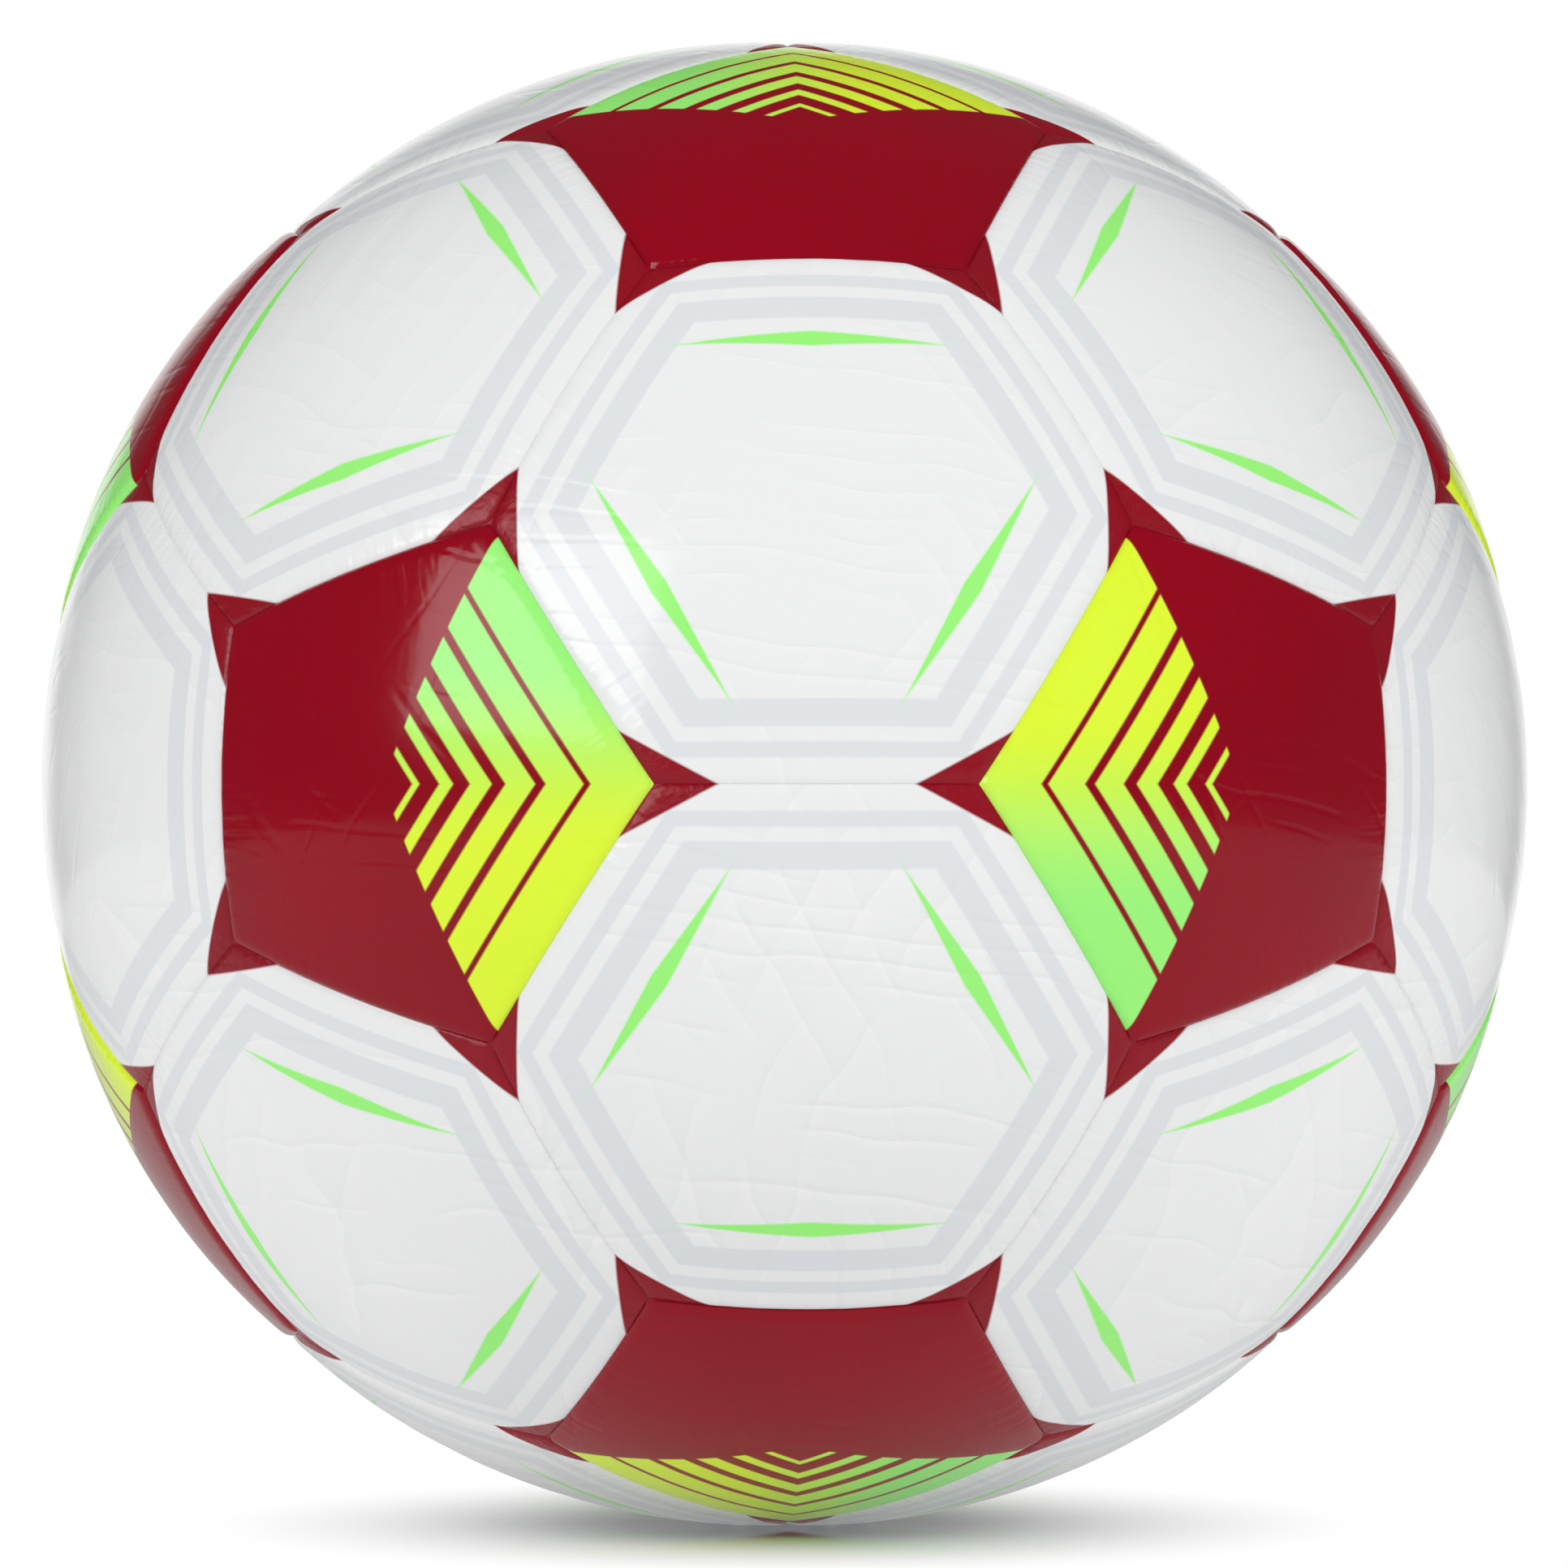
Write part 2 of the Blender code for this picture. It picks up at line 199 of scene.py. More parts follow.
class Blank:
    """Points, faces and measures of one die-cut blank."""

    def __init__(self, kind):
        self.kind = kind
        self.sides = SIDES[kind]
        half = math.pi / self.sides
        turns = [math.tau * i / self.sides for i in range(self.sides)]
        self.corners = [Vector((math.cos(turn), math.sin(turn))) * CORNER_TAN[kind] for turn in turns]
        self.middles = [Vector((math.cos(turn + half), math.sin(turn + half))) for turn in turns]
        self.plan = []
        self.faces = []
        self.measures = {measure: [] for measure in MEASURES}

    def seam_measures(self, point):
        """All measures of a point but its depth."""
        reach = MIDDLE_TAN[self.kind]
        half_width = math.atan(reach)
        shares = [(point.dot(middle) / reach, i) for i, middle in enumerate(self.middles)]
        shares.sort(reverse=True)
        near, after = [(half_width - math.atan(share * reach)) * BALL_RADIUS for share, _ in shares[:2]]
        share, side = shares[0]
        middle = self.middles[side]
        along = (middle.x * point.y - middle.y * point.x) * BALL_RADIUS + SIDE_OFFSET * side
        return [near, after, along, share]

    def add(self, point, depth=0.0, like=None):
        """A point with its own measures, or at a depth with the measures of another point."""
        if like is None:
            found = self.seam_measures(point)
        else:
            found = [self.measures[measure][like] for measure in MEASURES[:-1]]
        self.plan.append(point)
        for measure, value in zip(MEASURES, [*found, depth]):
            self.measures[measure].append(value)
        return len(self.plan) - 1

    def join(self, outer, inner):
        """Faces between two loops. Where the inner loop has fewer points, each face takes in several."""
        step = len(outer) // len(inner)
        for i in range(len(inner)):
            j = (i + 1) % len(inner)
            run = [outer[(i * step + k) % len(outer)] for k in range(step, 0, -1)]
            self.faces.append((outer[i * step], inner[i], inner[j], *run))


# %% [markdown]
# The outer sheet is one kite for each corner, a grid between the panel's middle,
# the middles of two sides and the corner. The panel with the valve needs a round
# hole. Cutting it out afterwards would leave ragged faces, so the rows inside it
# are left out and the others drawn out from a circle to the outline.

# %% Outer sheet
# The lining has as many points round as this row of the sheet, and a hole starts there
LINING_ROWS = 4


def kite_point(blank, i, u, v):
    """A point of one kite, by its shares of the way to the two seams that meet in the corner."""
    before = blank.middles[i - 1] * MIDDLE_TAN[blank.kind]
    after = blank.middles[i] * MIDDLE_TAN[blank.kind]
    return before * (u * (1 - v)) + after * (v * (1 - u)) + blank.corners[i] * (u * v)


def outer_sheet(blank, first, hole_radius):
    """The points of all kites from the first row on, by kite and rows, with faces between them."""
    shares = row_shares(blank.kind)
    grid = {}
    for i, a, b in itertools.product(range(blank.sides), range(1, ROWS + 1), range(ROWS + 1)):
        row = max(a, b)
        if row < first:
            continue
        point = kite_point(blank, i, shares[a], shares[b])
        if hole_radius:
            blend = (shares[row] - shares[first]) / (1 - shares[first])
            point = point.normalized() * hole_radius * (1 - blend) + point * blend
        grid[i, a, b] = blank.add(point)
    centre = None if first else blank.add(Vector((0.0, 0.0)))
    for i, b in itertools.product(range(blank.sides), range(first, ROWS + 1)):
        grid[i, 0, b] = grid[(i + 1) % blank.sides, b, 0] if b else centre
    for i, a, b in itertools.product(range(blank.sides), range(ROWS), range(ROWS)):
        if max(a, b) >= first:
            square = ((a, b), (a + 1, b), (a + 1, b + 1), (a, b + 1))
            blank.faces.append(tuple(grid[i, *corner] for corner in square))
    return grid


def kite_loop(grid, row, sides):
    """The points of one row, all the way round the panel, from its first corner."""
    loop = []
    for i in range(sides):
        loop += [grid[i, a, row] for a in range(row, 0, -1)]
        loop += [grid[(i + 1) % sides, row, b] for b in range(row)]
    return loop


# %% [markdown]
# Behind the outer sheet come the lip, the thread's channel, the rim that is
# turned in for sewing, and the lining. A single sheet would look the same from
# outside, but the panel is a thing of its own, so it is closed all round.

# %% Turned edge and lining
# Lip, thread channel and rim behind the seam: distance in from the seam, and depth
BACK_ROWS = (
    (0.00003, 0.00050),
    (0.00006, 0.00110),
    (0.00090, 0.00150),
    (0.00090, 0.00420),
    (0.00250, 0.00420),
    (0.00250, 0.00250),
)
LINING_DEPTH = 0.0036
LINING_SHARES = (0.78, 0.42)
FAR_FROM_SEAM = 0.1


def turned_edge(blank, edge):
    """The rows behind the seam. Hands back the last of them."""
    outer = edge
    for distance, depth in BACK_ROWS:
        scale = inset(blank.kind, distance) / inset(blank.kind, SEAM_ROWS[0])
        inner = [blank.add(blank.plan[k] * scale, depth, k) for k in edge]
        blank.join(outer, inner)
        outer = inner
    return outer


def lining(blank, edge, outer, hole_rim):
    """A few coarse rows that close the back, up to the rim of a hole or to one point."""
    for share in LINING_SHARES:
        inner = [blank.add(blank.plan[k] * share, LINING_DEPTH) for k in edge[:: ROWS // LINING_ROWS]]
        for measure, k in itertools.product(("near_seam", "next_seam"), inner):
            blank.measures[measure][k] = FAR_FROM_SEAM
        blank.join(outer, inner)
        outer = inner
    if hole_rim:
        inner = [blank.add(blank.plan[k], LINING_DEPTH) for k in hole_rim]
        blank.join(outer, inner)
        blank.join(inner, hole_rim)
    else:
        pole = blank.add(Vector((0.0, 0.0)), LINING_DEPTH)
        blank.faces += [(k, pole, after) for k, after in zip(outer, outer[1:] + outer[:1])]


def cut_blank(kind, hole_radius=0.0):
    """A closed blank, with or without a hole in its middle."""
    blank = Blank(kind)
    first = LINING_ROWS if hole_radius else 0
    grid = outer_sheet(blank, first, hole_radius)
    edge = kite_loop(grid, ROWS, blank.sides)
    lining(blank, edge, turned_edge(blank, edge), kite_loop(grid, first, blank.sides))
    return blank


# %% [markdown]
# The blank becomes a mesh with one attribute for each measure, and a UV map
# named print that holds its flat shape. The print is later drawn on that map,
# so it stays in register with the panel's corners as a real transfer does. The
# hole for the valve is as wide as the collar that will sit in it, and a little
# more.

# %% Turn blanks into meshes
VALVE_PANEL = "hexagon_back_top"
VALVE_HOLE_GAP = 0.0003
# Points of a CAD node closer than this lie at one height or on one radius
SAME_PLACE = 0.00002


def blank_mesh(name, blank):
    mesh = bpy.data.meshes.new(name)
    mesh.from_pydata([(point.x, point.y, 1.0) for point in blank.plan], [], blank.faces)
    for measure, values in blank.measures.items():
        mesh.attributes.new(measure, "FLOAT", "POINT").data.foreach_set("value", values)
    corners = np.empty(len(mesh.loops), np.int32)
    mesh.loops.foreach_get("vertex_index", corners)
    flat = np.array([tuple(point) for point in blank.plan])[corners] / CORNER_TAN[blank.kind]
    mesh.uv_layers.new(name="print").data.foreach_set("uv", (0.5 + 0.5 * flat).ravel())
    return mesh


def valve_profile(node):
    """The node's points as radius and height along the valve's axis."""
    points = node_points(node) @ np.array(FRAMES[VALVE_PANEL])
    return np.hypot(points[:, 0], points[:, 1]), points[:, 2]


around, height = valve_profile("valve_housing")
hole_radius = around[height > height.max() - SAME_PLACE].max() + VALVE_HOLE_GAP
BLANKS = {
    "pentagon": blank_mesh("pentagon_blank", cut_blank("pentagon")),
    "hexagon": blank_mesh("hexagon_blank", cut_blank("hexagon")),
    "valve": blank_mesh("valve_blank", cut_blank("hexagon", hole_radius / CROWN["hexagon"])),
}
for label, mesh in BLANKS.items():
    print(label, "blank:", len(mesh.vertices), "points,", len(mesh.polygons), "faces")

# %% [markdown]
# ## Short calls for node trees
#
# The forming of the panels, the stitches and all finishes are node trees. They
# could be wired by hand in the editor, but a script keeps every size in view.
# Here an output becomes a wire, and a sum with wires becomes Math nodes, so that
# a formula reads like one. The other helpers add a node and set its inputs.


# %% Node helpers
class Wire:
    """An output of a node. Each sum with it adds a Math node to its tree."""

    def __init__(self, socket):
        self.socket = socket
        self.tree = socket.id_data

    def __add__(self, other):
        return calc("ADD", self, other)

    def __sub__(self, other):
        return calc("SUBTRACT", self, other)

    def __rsub__(self, other):
        return calc("SUBTRACT", other, self)

    def __mul__(self, other):
        return calc("MULTIPLY", self, other)

    def __truediv__(self, other):
        return calc("DIVIDE", self, other)

    def __rtruediv__(self, other):
        return calc("DIVIDE", other, self)

    def __pow__(self, other):
        return calc("POWER", self, other)

    def __abs__(self):
        return calc("ABSOLUTE", self)

    def __neg__(self):
        return self * -1.0


def plug(value, socket):
    """Joins a wire to an input, or sets the input to a plain value."""
    if isinstance(value, Wire):
        value.tree.links.new(value.socket, socket)
    else:
        socket.default_value = value


def set_inputs(node, inputs):
    for key, value in inputs.items():
        plug(value, node.inputs[key])


def add_node(tree, kind, inputs=None, **settings):
    node = tree.nodes.new(kind)
    for key, value in settings.items():
        setattr(node, key, value)
    set_inputs(node, inputs or {})
    return node


def wire(tree, kind, inputs=None, output=0, **settings):
    """One output of a new node."""
    return Wire(add_node(tree, kind, inputs, **settings).outputs[output])


def wires(sockets):
    return {socket.name: Wire(socket) for socket in sockets}


def tree_of(values):
    return next(value.tree for value in values if isinstance(value, Wire))


def calc(operation, *values):
    inputs = dict(enumerate(values))
    return wire(tree_of(values), "ShaderNodeMath", inputs, operation=operation)


def vector_calc(operation, *values):
    node = add_node(tree_of(values), "ShaderNodeVectorMath", operation=operation)
    slots = [socket for socket in node.inputs if socket.enabled]
    for value, socket in zip(values, slots):
        plug(value, socket)
    return Wire(next(socket for socket in node.outputs if socket.enabled))


# %% [markdown]
# A few nodes come up again and again: the ramp, the noise, the split of a vector
# and the tree with named sockets. Each gets a call of its own.


# %% Named nodes
def ramp(value, low, high, start=0.0, end=1.0, shape="SMOOTHSTEP"):
    """Goes from start to end while the value goes from low to high, and stays there beyond them."""
    inputs = {"Value": value, "From Min": low, "From Max": high, "To Min": start, "To Max": end}
    return wire(value.tree, "ShaderNodeMapRange", inputs, interpolation_type=shape)


def noise(vector, scale, detail, dimensions="3D", output="Fac"):
    inputs = {"Vector": vector, "Scale": scale, "Detail": detail}
    return wire(vector.tree, "ShaderNodeTexNoise", inputs, output, noise_dimensions=dimensions)


def combine(**parts):
    return wire(tree_of(parts.values()), "ShaderNodeCombineXYZ", parts)


def separate(vector):
    return [Wire(part) for part in add_node(vector.tree, "ShaderNodeSeparateXYZ", {"Vector": vector}).outputs]


def new_tree(name, kind, inputs, outputs):
    """A node tree with sockets named by kind, the wires of its inputs and the sockets of its outputs."""
    tree = bpy.data.node_groups.new(name, kind)
    for in_out, sockets in (("INPUT", inputs), ("OUTPUT", outputs)):
        for socket, labels in sockets.items():
            for label in labels:
                tree.interface.new_socket(label, in_out=in_out, socket_type="NodeSocket" + socket)
    given = wires(tree.nodes.new("NodeGroupInput").outputs)
    made = tree.nodes.new("NodeGroupOutput").inputs
    return tree, given, made


# %% [markdown]
# ## Forming the panels
#
# Air pressure domes every panel, and the stitching pulls its edges down into
# the seam. Sculpting would do for one panel, but thirty-two need a rule. The
# Geometry Nodes tree below lays a blank on the ball: the dome falls from crown
# to edge, and the edge rolls over along an ellipse. It stops a little short of
# upright, because the sewn edges press on each other.

# %% Build the forming tree
CORNER_BLEND = 5.0
ROLL_SHARE = 0.95
FORM_SIZES = ("Crown", "Edge", "Edge Fall", "Edge Roll", "Pucker Height", "Pucker Pitch", "Pucker Reach")
form, given, made = new_tree(
    "panel_form",
    "GeometryNodeTree",
    {
        "Geometry": ("Geometry",),
        "Float": (*FORM_SIZES, "Wrinkle Height", "Wrinkle Size", "Seed"),
        "Vector": ("Wrinkle Stretch",),
        "Material": ("Material",),
    },
    {"Geometry": ("Geometry",)},
)


def measured(name):
    return wire(form, "GeometryNodeInputNamedAttribute", {"Name": name}, "Attribute")


def roll_from(distance):
    """How far round the rolled edge a point lies: 0 on the dome, 1 at the seam."""
    return (1.0 - calc("MINIMUM", distance / given["Edge Roll"], 1.0)) ** CORNER_BLEND


direction = vector_calc("NORMALIZE", wire(form, "GeometryNodeInputPosition"))
near_seam, next_seam, along_seam, share, depth = [measured(name) for name in MEASURES]
dome = given["Crown"] - (given["Crown"] - given["Edge"]) * share**2.0
rolled = (roll_from(near_seam) + roll_from(next_seam)) ** (1.0 / CORNER_BLEND)
rolled = calc("MINIMUM", rolled, 1.0)
upright = calc("SQRT", 1.0 - (rolled * ROLL_SHARE) ** 2.0)
fall_share = (1.0 - upright) / (1.0 - math.sqrt(1.0 - ROLL_SHARE**2))
radius = dome - given["Edge Fall"] * fall_share - depth
print("forming tree:", len(form.nodes), "nodes for dome and edge")

# %% [markdown]
# Two things make a real panel uneven. The thread puckers its edge in short
# waves, which fade with the distance from the seam, and the coated skin keeps a
# few shallow wrinkles, which end where the edge rolls over. Both are noises, and
# a seed gives each panel its own. The tree ends in real geometry with a material.

# %% Pucker and wrinkle the panels
NOISE_MIDDLE = 0.5
WRINKLE_DETAIL = {"Scale": 1.0, "Detail": 2.0, "Distortion": 0.6}
# The wrinkles are in the outer skin only, which is this thick
SKIN_DEPTH = 0.0005

seam_place = combine(X=along_seam / given["Pucker Pitch"], Y=given["Seed"])
pucker = noise(seam_place, scale=1.0, detail=1.0, dimensions="2D")
pucker = (pucker - NOISE_MIDDLE) * given["Pucker Height"]
pucker_fade = calc("EXPONENT", -(near_seam / given["Pucker Reach"]))
corner_fade = calc("MINIMUM", (next_seam - near_seam) / given["Pucker Reach"], 1.0)

wrinkle_place = vector_calc("SCALE", direction, given["Crown"] / given["Wrinkle Size"])
wrinkle_place = vector_calc("MULTIPLY", wrinkle_place, given["Wrinkle Stretch"])
wrinkle_noise = {"Vector": wrinkle_place, "W": given["Seed"], **WRINKLE_DETAIL}
wrinkle = wire(form, "ShaderNodeTexNoise", wrinkle_noise, "Fac", noise_dimensions="4D")
wrinkle = abs(wrinkle - NOISE_MIDDLE) * given["Wrinkle Height"]
skin = 1.0 - calc("MINIMUM", depth / SKIN_DEPTH, 1.0)
radius = radius + pucker * (pucker_fade * corner_fade) - wrinkle * ((1.0 - fall_share) * skin)


def end_tree(geometry, material, output):
    """The last nodes of a Geometry Nodes tree: real geometry with its material."""
    real = wire(geometry.tree, "GeometryNodeRealizeInstances", {"Geometry": geometry})
    dressed = {"Geometry": real, "Material": material}
    plug(wire(geometry.tree, "GeometryNodeSetMaterial", dressed), output)


position = vector_calc("SCALE", direction, radius)
laid = wire(form, "GeometryNodeSetPosition", {"Geometry": given["Geometry"], "Position": position})
smooth = wire(form, "GeometryNodeSetShadeSmooth", {"Geometry": laid})
end_tree(smooth, given["Material"], made["Geometry"])
print("forming tree:", len(form.nodes), "nodes in all")

# %% [markdown]
# A tree is a recipe. To cook it, a worker object gets the tree as a modifier and
# its values by the identifiers of their sockets. What comes out is kept as a
# plain mesh, and the worker goes. A finished piece then says which body it rides
# on and which CAD nodes it stands for.


# %% Run a tree and place a piece
def add_object(name, data):
    thing = bpy.data.objects.new(name, data)
    bpy.context.scene.collection.objects.link(thing)
    return thing


def grow(name, mesh, tree, values):
    """Runs a Geometry Nodes tree on a mesh and hands back the plain mesh that it made."""
    sockets = {item.name: item.identifier for item in tree.interface.items_tree if item.in_out == "INPUT"}
    worker = add_object(name, mesh)
    modifier = worker.modifiers.new(name, "NODES")
    modifier.node_group = tree
    for label, value in values.items():
        modifier[sockets[label]] = value
    depsgraph = bpy.context.evaluated_depsgraph_get()
    grown = bpy.data.meshes.new_from_object(worker.evaluated_get(depsgraph))
    worker.modifiers.remove(modifier)
    bpy.data.objects.remove(worker)
    return grown


def place(name, mesh, body, slot, *nodes):
    """A finished piece at the origin, on its body, in place of its CAD nodes."""
    piece = add_object(name, mesh)
    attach(piece, body)
    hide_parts(*nodes)
    return piece


# %% [markdown]
# ## A skin that all panels share
#
# The cover is a thin glossy film over foam, and it is never quite smooth. Thin
# folds cross each other at a few angles. Sculpting a relief of a tenth of a
# millimetre would take millions of faces, so it is work for a bump. A cell
# texture would look like marble and a plain noise like cloud. So each family of
# folds is a row of narrow grooves across one direction. Slow noises bend them
# and fade them out, and a chance for each groove decides how much of it is left.
# Painted shade goes with the height: the colour is painted lighter on one flank of
# a fold and darker on the other, as light and shade would fall on it.

# %% Fold the film
# The group puts out a height for the bump, the painted shade of the folds for the colour, and a slow
# variation
film, given, made = new_tree(
    "glossy_film",
    "ShaderNodeTree",
    {"Vector": ("Vector",), "Float": ("Crease Size", "Near Seam", "Next Seam", "Along Seam", "Crinkle")},
    {"Float": ("Height", "Fold Painted Shade", "Variation")},
)
# Three families of folds: the way across them, spacing in crease sizes, how far they wander, and weight
FOLDS = (
    ((0.12, 0.10, 1.00), 0.8, 1.8, 1.0),
    ((0.80, 0.35, 0.48), 1.3, 1.1, 0.7),
    ((-0.78, 0.38, 0.50), 1.5, 1.0, 0.7),
)
FOLD_WIDTH = 0.16
FOLD_DEPTH = 0.50
# How narrow the painted light and shade on the flanks of a fold is
FOLD_SHARPNESS = 6.0
FOLD_CHANCE = 0.30
FOLD_PATCH = (0.62, 0.76)
WANDER_SIZE = 4.5
HALF_LINE = 0.5
# How strongly the flanks of a fold are painted lighter and darker
FLANK_PAINTED_SHADE = 0.5

wander = separate(noise(given["Vector"], 1.0 / WANDER_SIZE / given["Crease Size"], 1.0, output="Color"))
# The same three noises bend one family of folds and fade another
patches = wander[1:] + wander[:1]
fold_height = 0.0
# Painted fold shade: 0.5 where the film is flat, above it painted lighter, below it painted darker
fold_painted_shade = 0.5
for (across, spacing, wandering, weight), drift, patch in zip(FOLDS, wander, patches):
    run = vector_calc("DOT_PRODUCT", given["Vector"], across) / given["Crease Size"]
    run = calc("MULTIPLY_ADD", run, 1.0 / spacing, drift * wandering)
    line = {"W": calc("ROUND", run)}
    chance = wire(film, "ShaderNodeTexWhiteNoise", line, "Value", noise_dimensions="1D")
    kept = ramp(calc("MULTIPLY_ADD", chance, FOLD_CHANCE, patch), *FOLD_PATCH, end=weight)
    off_line = calc("PINGPONG", run, HALF_LINE)
    groove = ramp(off_line, 0.0, FOLD_WIDTH / spacing, start=-FOLD_DEPTH, end=0.0)
    fold_height = calc("MULTIPLY_ADD", groove, kept, fold_height)
    # Painted shade on the flanks: lighter just before each fold line, darker just after it
    past_line = calc("FRACT", run)
    flank_painted_shade = past_line**FOLD_SHARPNESS - (1.0 - past_line) ** FOLD_SHARPNESS
    fold_painted_shade = calc("MULTIPLY_ADD", flank_painted_shade * FLANK_PAINTED_SHADE, kept, fold_painted_shade)
plug(fold_painted_shade, made["Fold Painted Shade"])
print("film group:", len(film.nodes), "nodes for", len(FOLDS), "families of folds")

# %% [markdown]
# Two more marks belong to the film. The stitching pulls short lines out of the
# seams, and the film is rucked where a printed corner was pressed. Both follow
# the measures of the blank, so they stay with the seams. A fine peel, as on any
# coating, goes under all of it, and a slow variation for colour and gloss is put
# out too.

# %% Pull and ruck the film
PULL_WIDTH = 0.0015
PULL_LENGTH = 0.0100
PULL_REACH = 0.0045
PULL_FROM_CORNER = (0.0015, 0.0055)
PULL_HEIGHT = 1.6
# A corner of the print ends where the distances to its two seams add up to this
CRINKLE_SPAN = (0.0070, 0.0080)
RUCK_SCALE = 330.0
RUCK_DEPTH = 4.5
PEEL_SCALE = 900.0
PEEL_HEIGHT = 0.10
VARIATION_SCALE = 30.0

pull_place = combine(X=given["Along Seam"] / PULL_WIDTH, Y=given["Near Seam"] / PULL_LENGTH)
pull_fade = calc("EXPONENT", given["Near Seam"] * (-1.0 / PULL_REACH))
pull_fade = pull_fade * ramp(given["Next Seam"] - given["Near Seam"], *PULL_FROM_CORNER)
pull = noise(pull_place, scale=1.0, detail=1.0, dimensions="2D") * pull_fade

to_seams = given["Near Seam"] + given["Next Seam"]
crinkled = ramp(to_seams, *CRINKLE_SPAN, start=given["Crinkle"], end=0.0, shape="LINEAR")
ruck = abs(noise(given["Vector"], RUCK_SCALE, 2.0) - NOISE_MIDDLE) * crinkled
peel = noise(given["Vector"], PEEL_SCALE, 0.0)
height = calc("MULTIPLY_ADD", peel, PEEL_HEIGHT, fold_height) - ruck * RUCK_DEPTH + pull * PULL_HEIGHT
plug(height, made["Height"])
plug(noise(given["Vector"], VARIATION_SCALE, 1.0), made["Variation"])
print("film group:", len(film.nodes), "nodes in all")

# %% [markdown]
# ## Prints on the panels
#
# A ball's cover carries coloured corners, pale grey framing and bright accents.
# Here these are plain shapes: on a hexagon, straight-cut corners, a double frame
# that follows the sides, and a slim bar along each pentagon side; on a pentagon,
# a fan of stripes that follow two of its sides.
# A transfer could be painted as an image, but lines and distances on the print
# map stay sharp at any size. Units are the panel's corner distance.

# %% Drawing helpers
PRINT_BLUR = 0.004


def centred(plan):
    """The print map with its origin in the panel's middle and its corners one unit out."""
    return vector_calc("SUBTRACT", vector_calc("MULTIPLY", plan, (2.0, 2.0, 0.0)), (1.0, 1.0, 0.0))


def facing(point, turn):
    """How far a point lies towards a direction, given as an angle."""
    return vector_calc("DOT_PRODUCT", point, (math.cos(turn), math.sin(turn), 0.0))


def above(value, limit):
    """1 where the value is over the limit, with a soft step the width of an ink edge."""
    return ramp(value - limit, -PRINT_BLUR, PRINT_BLUR, shape="LINEAR")


def between(value, low, high):
    return calc("MAXIMUM", above(value, low) - above(value, high), 0.0)


def largest(values):
    return functools.reduce(lambda most, value: calc("MAXIMUM", most, value), values)


# %% [markdown]
# A hexagon looks the same from opposite sides, so three directions are enough to
# find the nearest corner, and three more for the nearest side. The bars lie at
# every second side only, where the pentagons are.

# %% Hexagon print
CORNER_CUT = 0.90
FRAME_LINES = ((0.085, 0.135), (0.180, 0.265))
BAR_INSET = 0.345
BAR_HALF_LENGTH = 0.40
BAR_HALF_WIDTH = 0.028
APOTHEM = math.cos(math.pi / 6)
CORNER_TURNS = [i * math.pi / 3 for i in range(3)]
SIDE_TURNS = [math.pi / 6 + turn for turn in CORNER_TURNS]
PENTAGON_TURNS = [math.pi / 6 + i * math.tau / 3 for i in range(3)]

masks = {"Float": ("Corner", "Frame", "Bar")}
hexagon_print, given, made = new_tree("hexagon_print", "ShaderNodeTree", {"Vector": ("Plan",)}, masks)
point = centred(given["Plan"])
to_corner = largest([abs(facing(point, turn)) for turn in CORNER_TURNS])
from_side = APOTHEM - largest([abs(facing(point, turn)) for turn in SIDE_TURNS])
to_pentagon = largest([facing(point, turn) for turn in PENTAGON_TURNS])
sideways = vector_calc("DOT_PRODUCT", point, point) - to_pentagon**2.0
sideways = calc("SQRT", calc("MAXIMUM", sideways, 0.0))
half_width = (1.0 - sideways / BAR_HALF_LENGTH) * BAR_HALF_WIDTH
off_bar = abs(to_pentagon - (APOTHEM - BAR_INSET))
plug(above(to_corner, CORNER_CUT), made["Corner"])
plug(largest([between(from_side, *line) for line in FRAME_LINES]), made["Frame"])
plug(above(half_width - off_bar, 0.0), made["Bar"])
print("hexagon print:", len(hexagon_print.nodes), "nodes")

# %% [markdown]
# The pentagon's fan needs only one half of its drawing: taking the absolute
# value of Y folds the panel along its middle line, so both halves get the same
# stripes. The sweep is a soft ramp across the panel that later blends two inks.

# %% Pentagon print
STRIPES = ((-0.02, 0.190), (0.212, 0.325), (0.357, 0.445), (0.487, 0.552), (0.604, 0.646), (0.708, 0.730))
STRIPE_END = 0.52
STRIPE_SHORTENING = 0.62
SWEEP_SPAN = (-0.25, 0.45)
PENTAGON_SIDE_TURN = math.pi / 5

masks = {"Float": ("Stripe", "Sweep")}
pentagon_print, given, made = new_tree("pentagon_print", "ShaderNodeTree", {"Vector": ("Plan",)}, masks)
x, y, _ = separate(centred(given["Plan"]))
folded = combine(X=x, Y=abs(y))
from_side = math.cos(PENTAGON_SIDE_TURN) - facing(folded, PENTAGON_SIDE_TURN)
along_side = facing(folded, PENTAGON_SIDE_TURN + math.pi / 2)
stripe = largest([between(from_side, *line) for line in STRIPES])
end = STRIPE_END - from_side * STRIPE_SHORTENING
plug(stripe * above(end - along_side, 0.0), made["Stripe"])
plug(ramp(y, *SWEEP_SPAN), made["Sweep"])
print("pentagon print:", len(pentagon_print.nodes), "nodes")

# %% [markdown]
# ## Cover finishes
#
# Ink lies under the film, so one gloss runs over all colours. Each finish mixes
# its inks by the print's masks and lets the film's variation tint them slightly.
# On the hexagons the white also gets painted shade from the folds, painted
# lighter on one flank of a fold and darker on the other. Each finish takes its
# bump from the folds. A thin clear coat gives the sharp reflections, while the
# base below stays a little softer, and duller still on the crinkled corners. One
# material with all inks would do too, but a finish for each kind of panel keeps
# its print and its bump depth apart.

# %% Finish helpers
NOISE_SPAN = (0.3, 0.7)


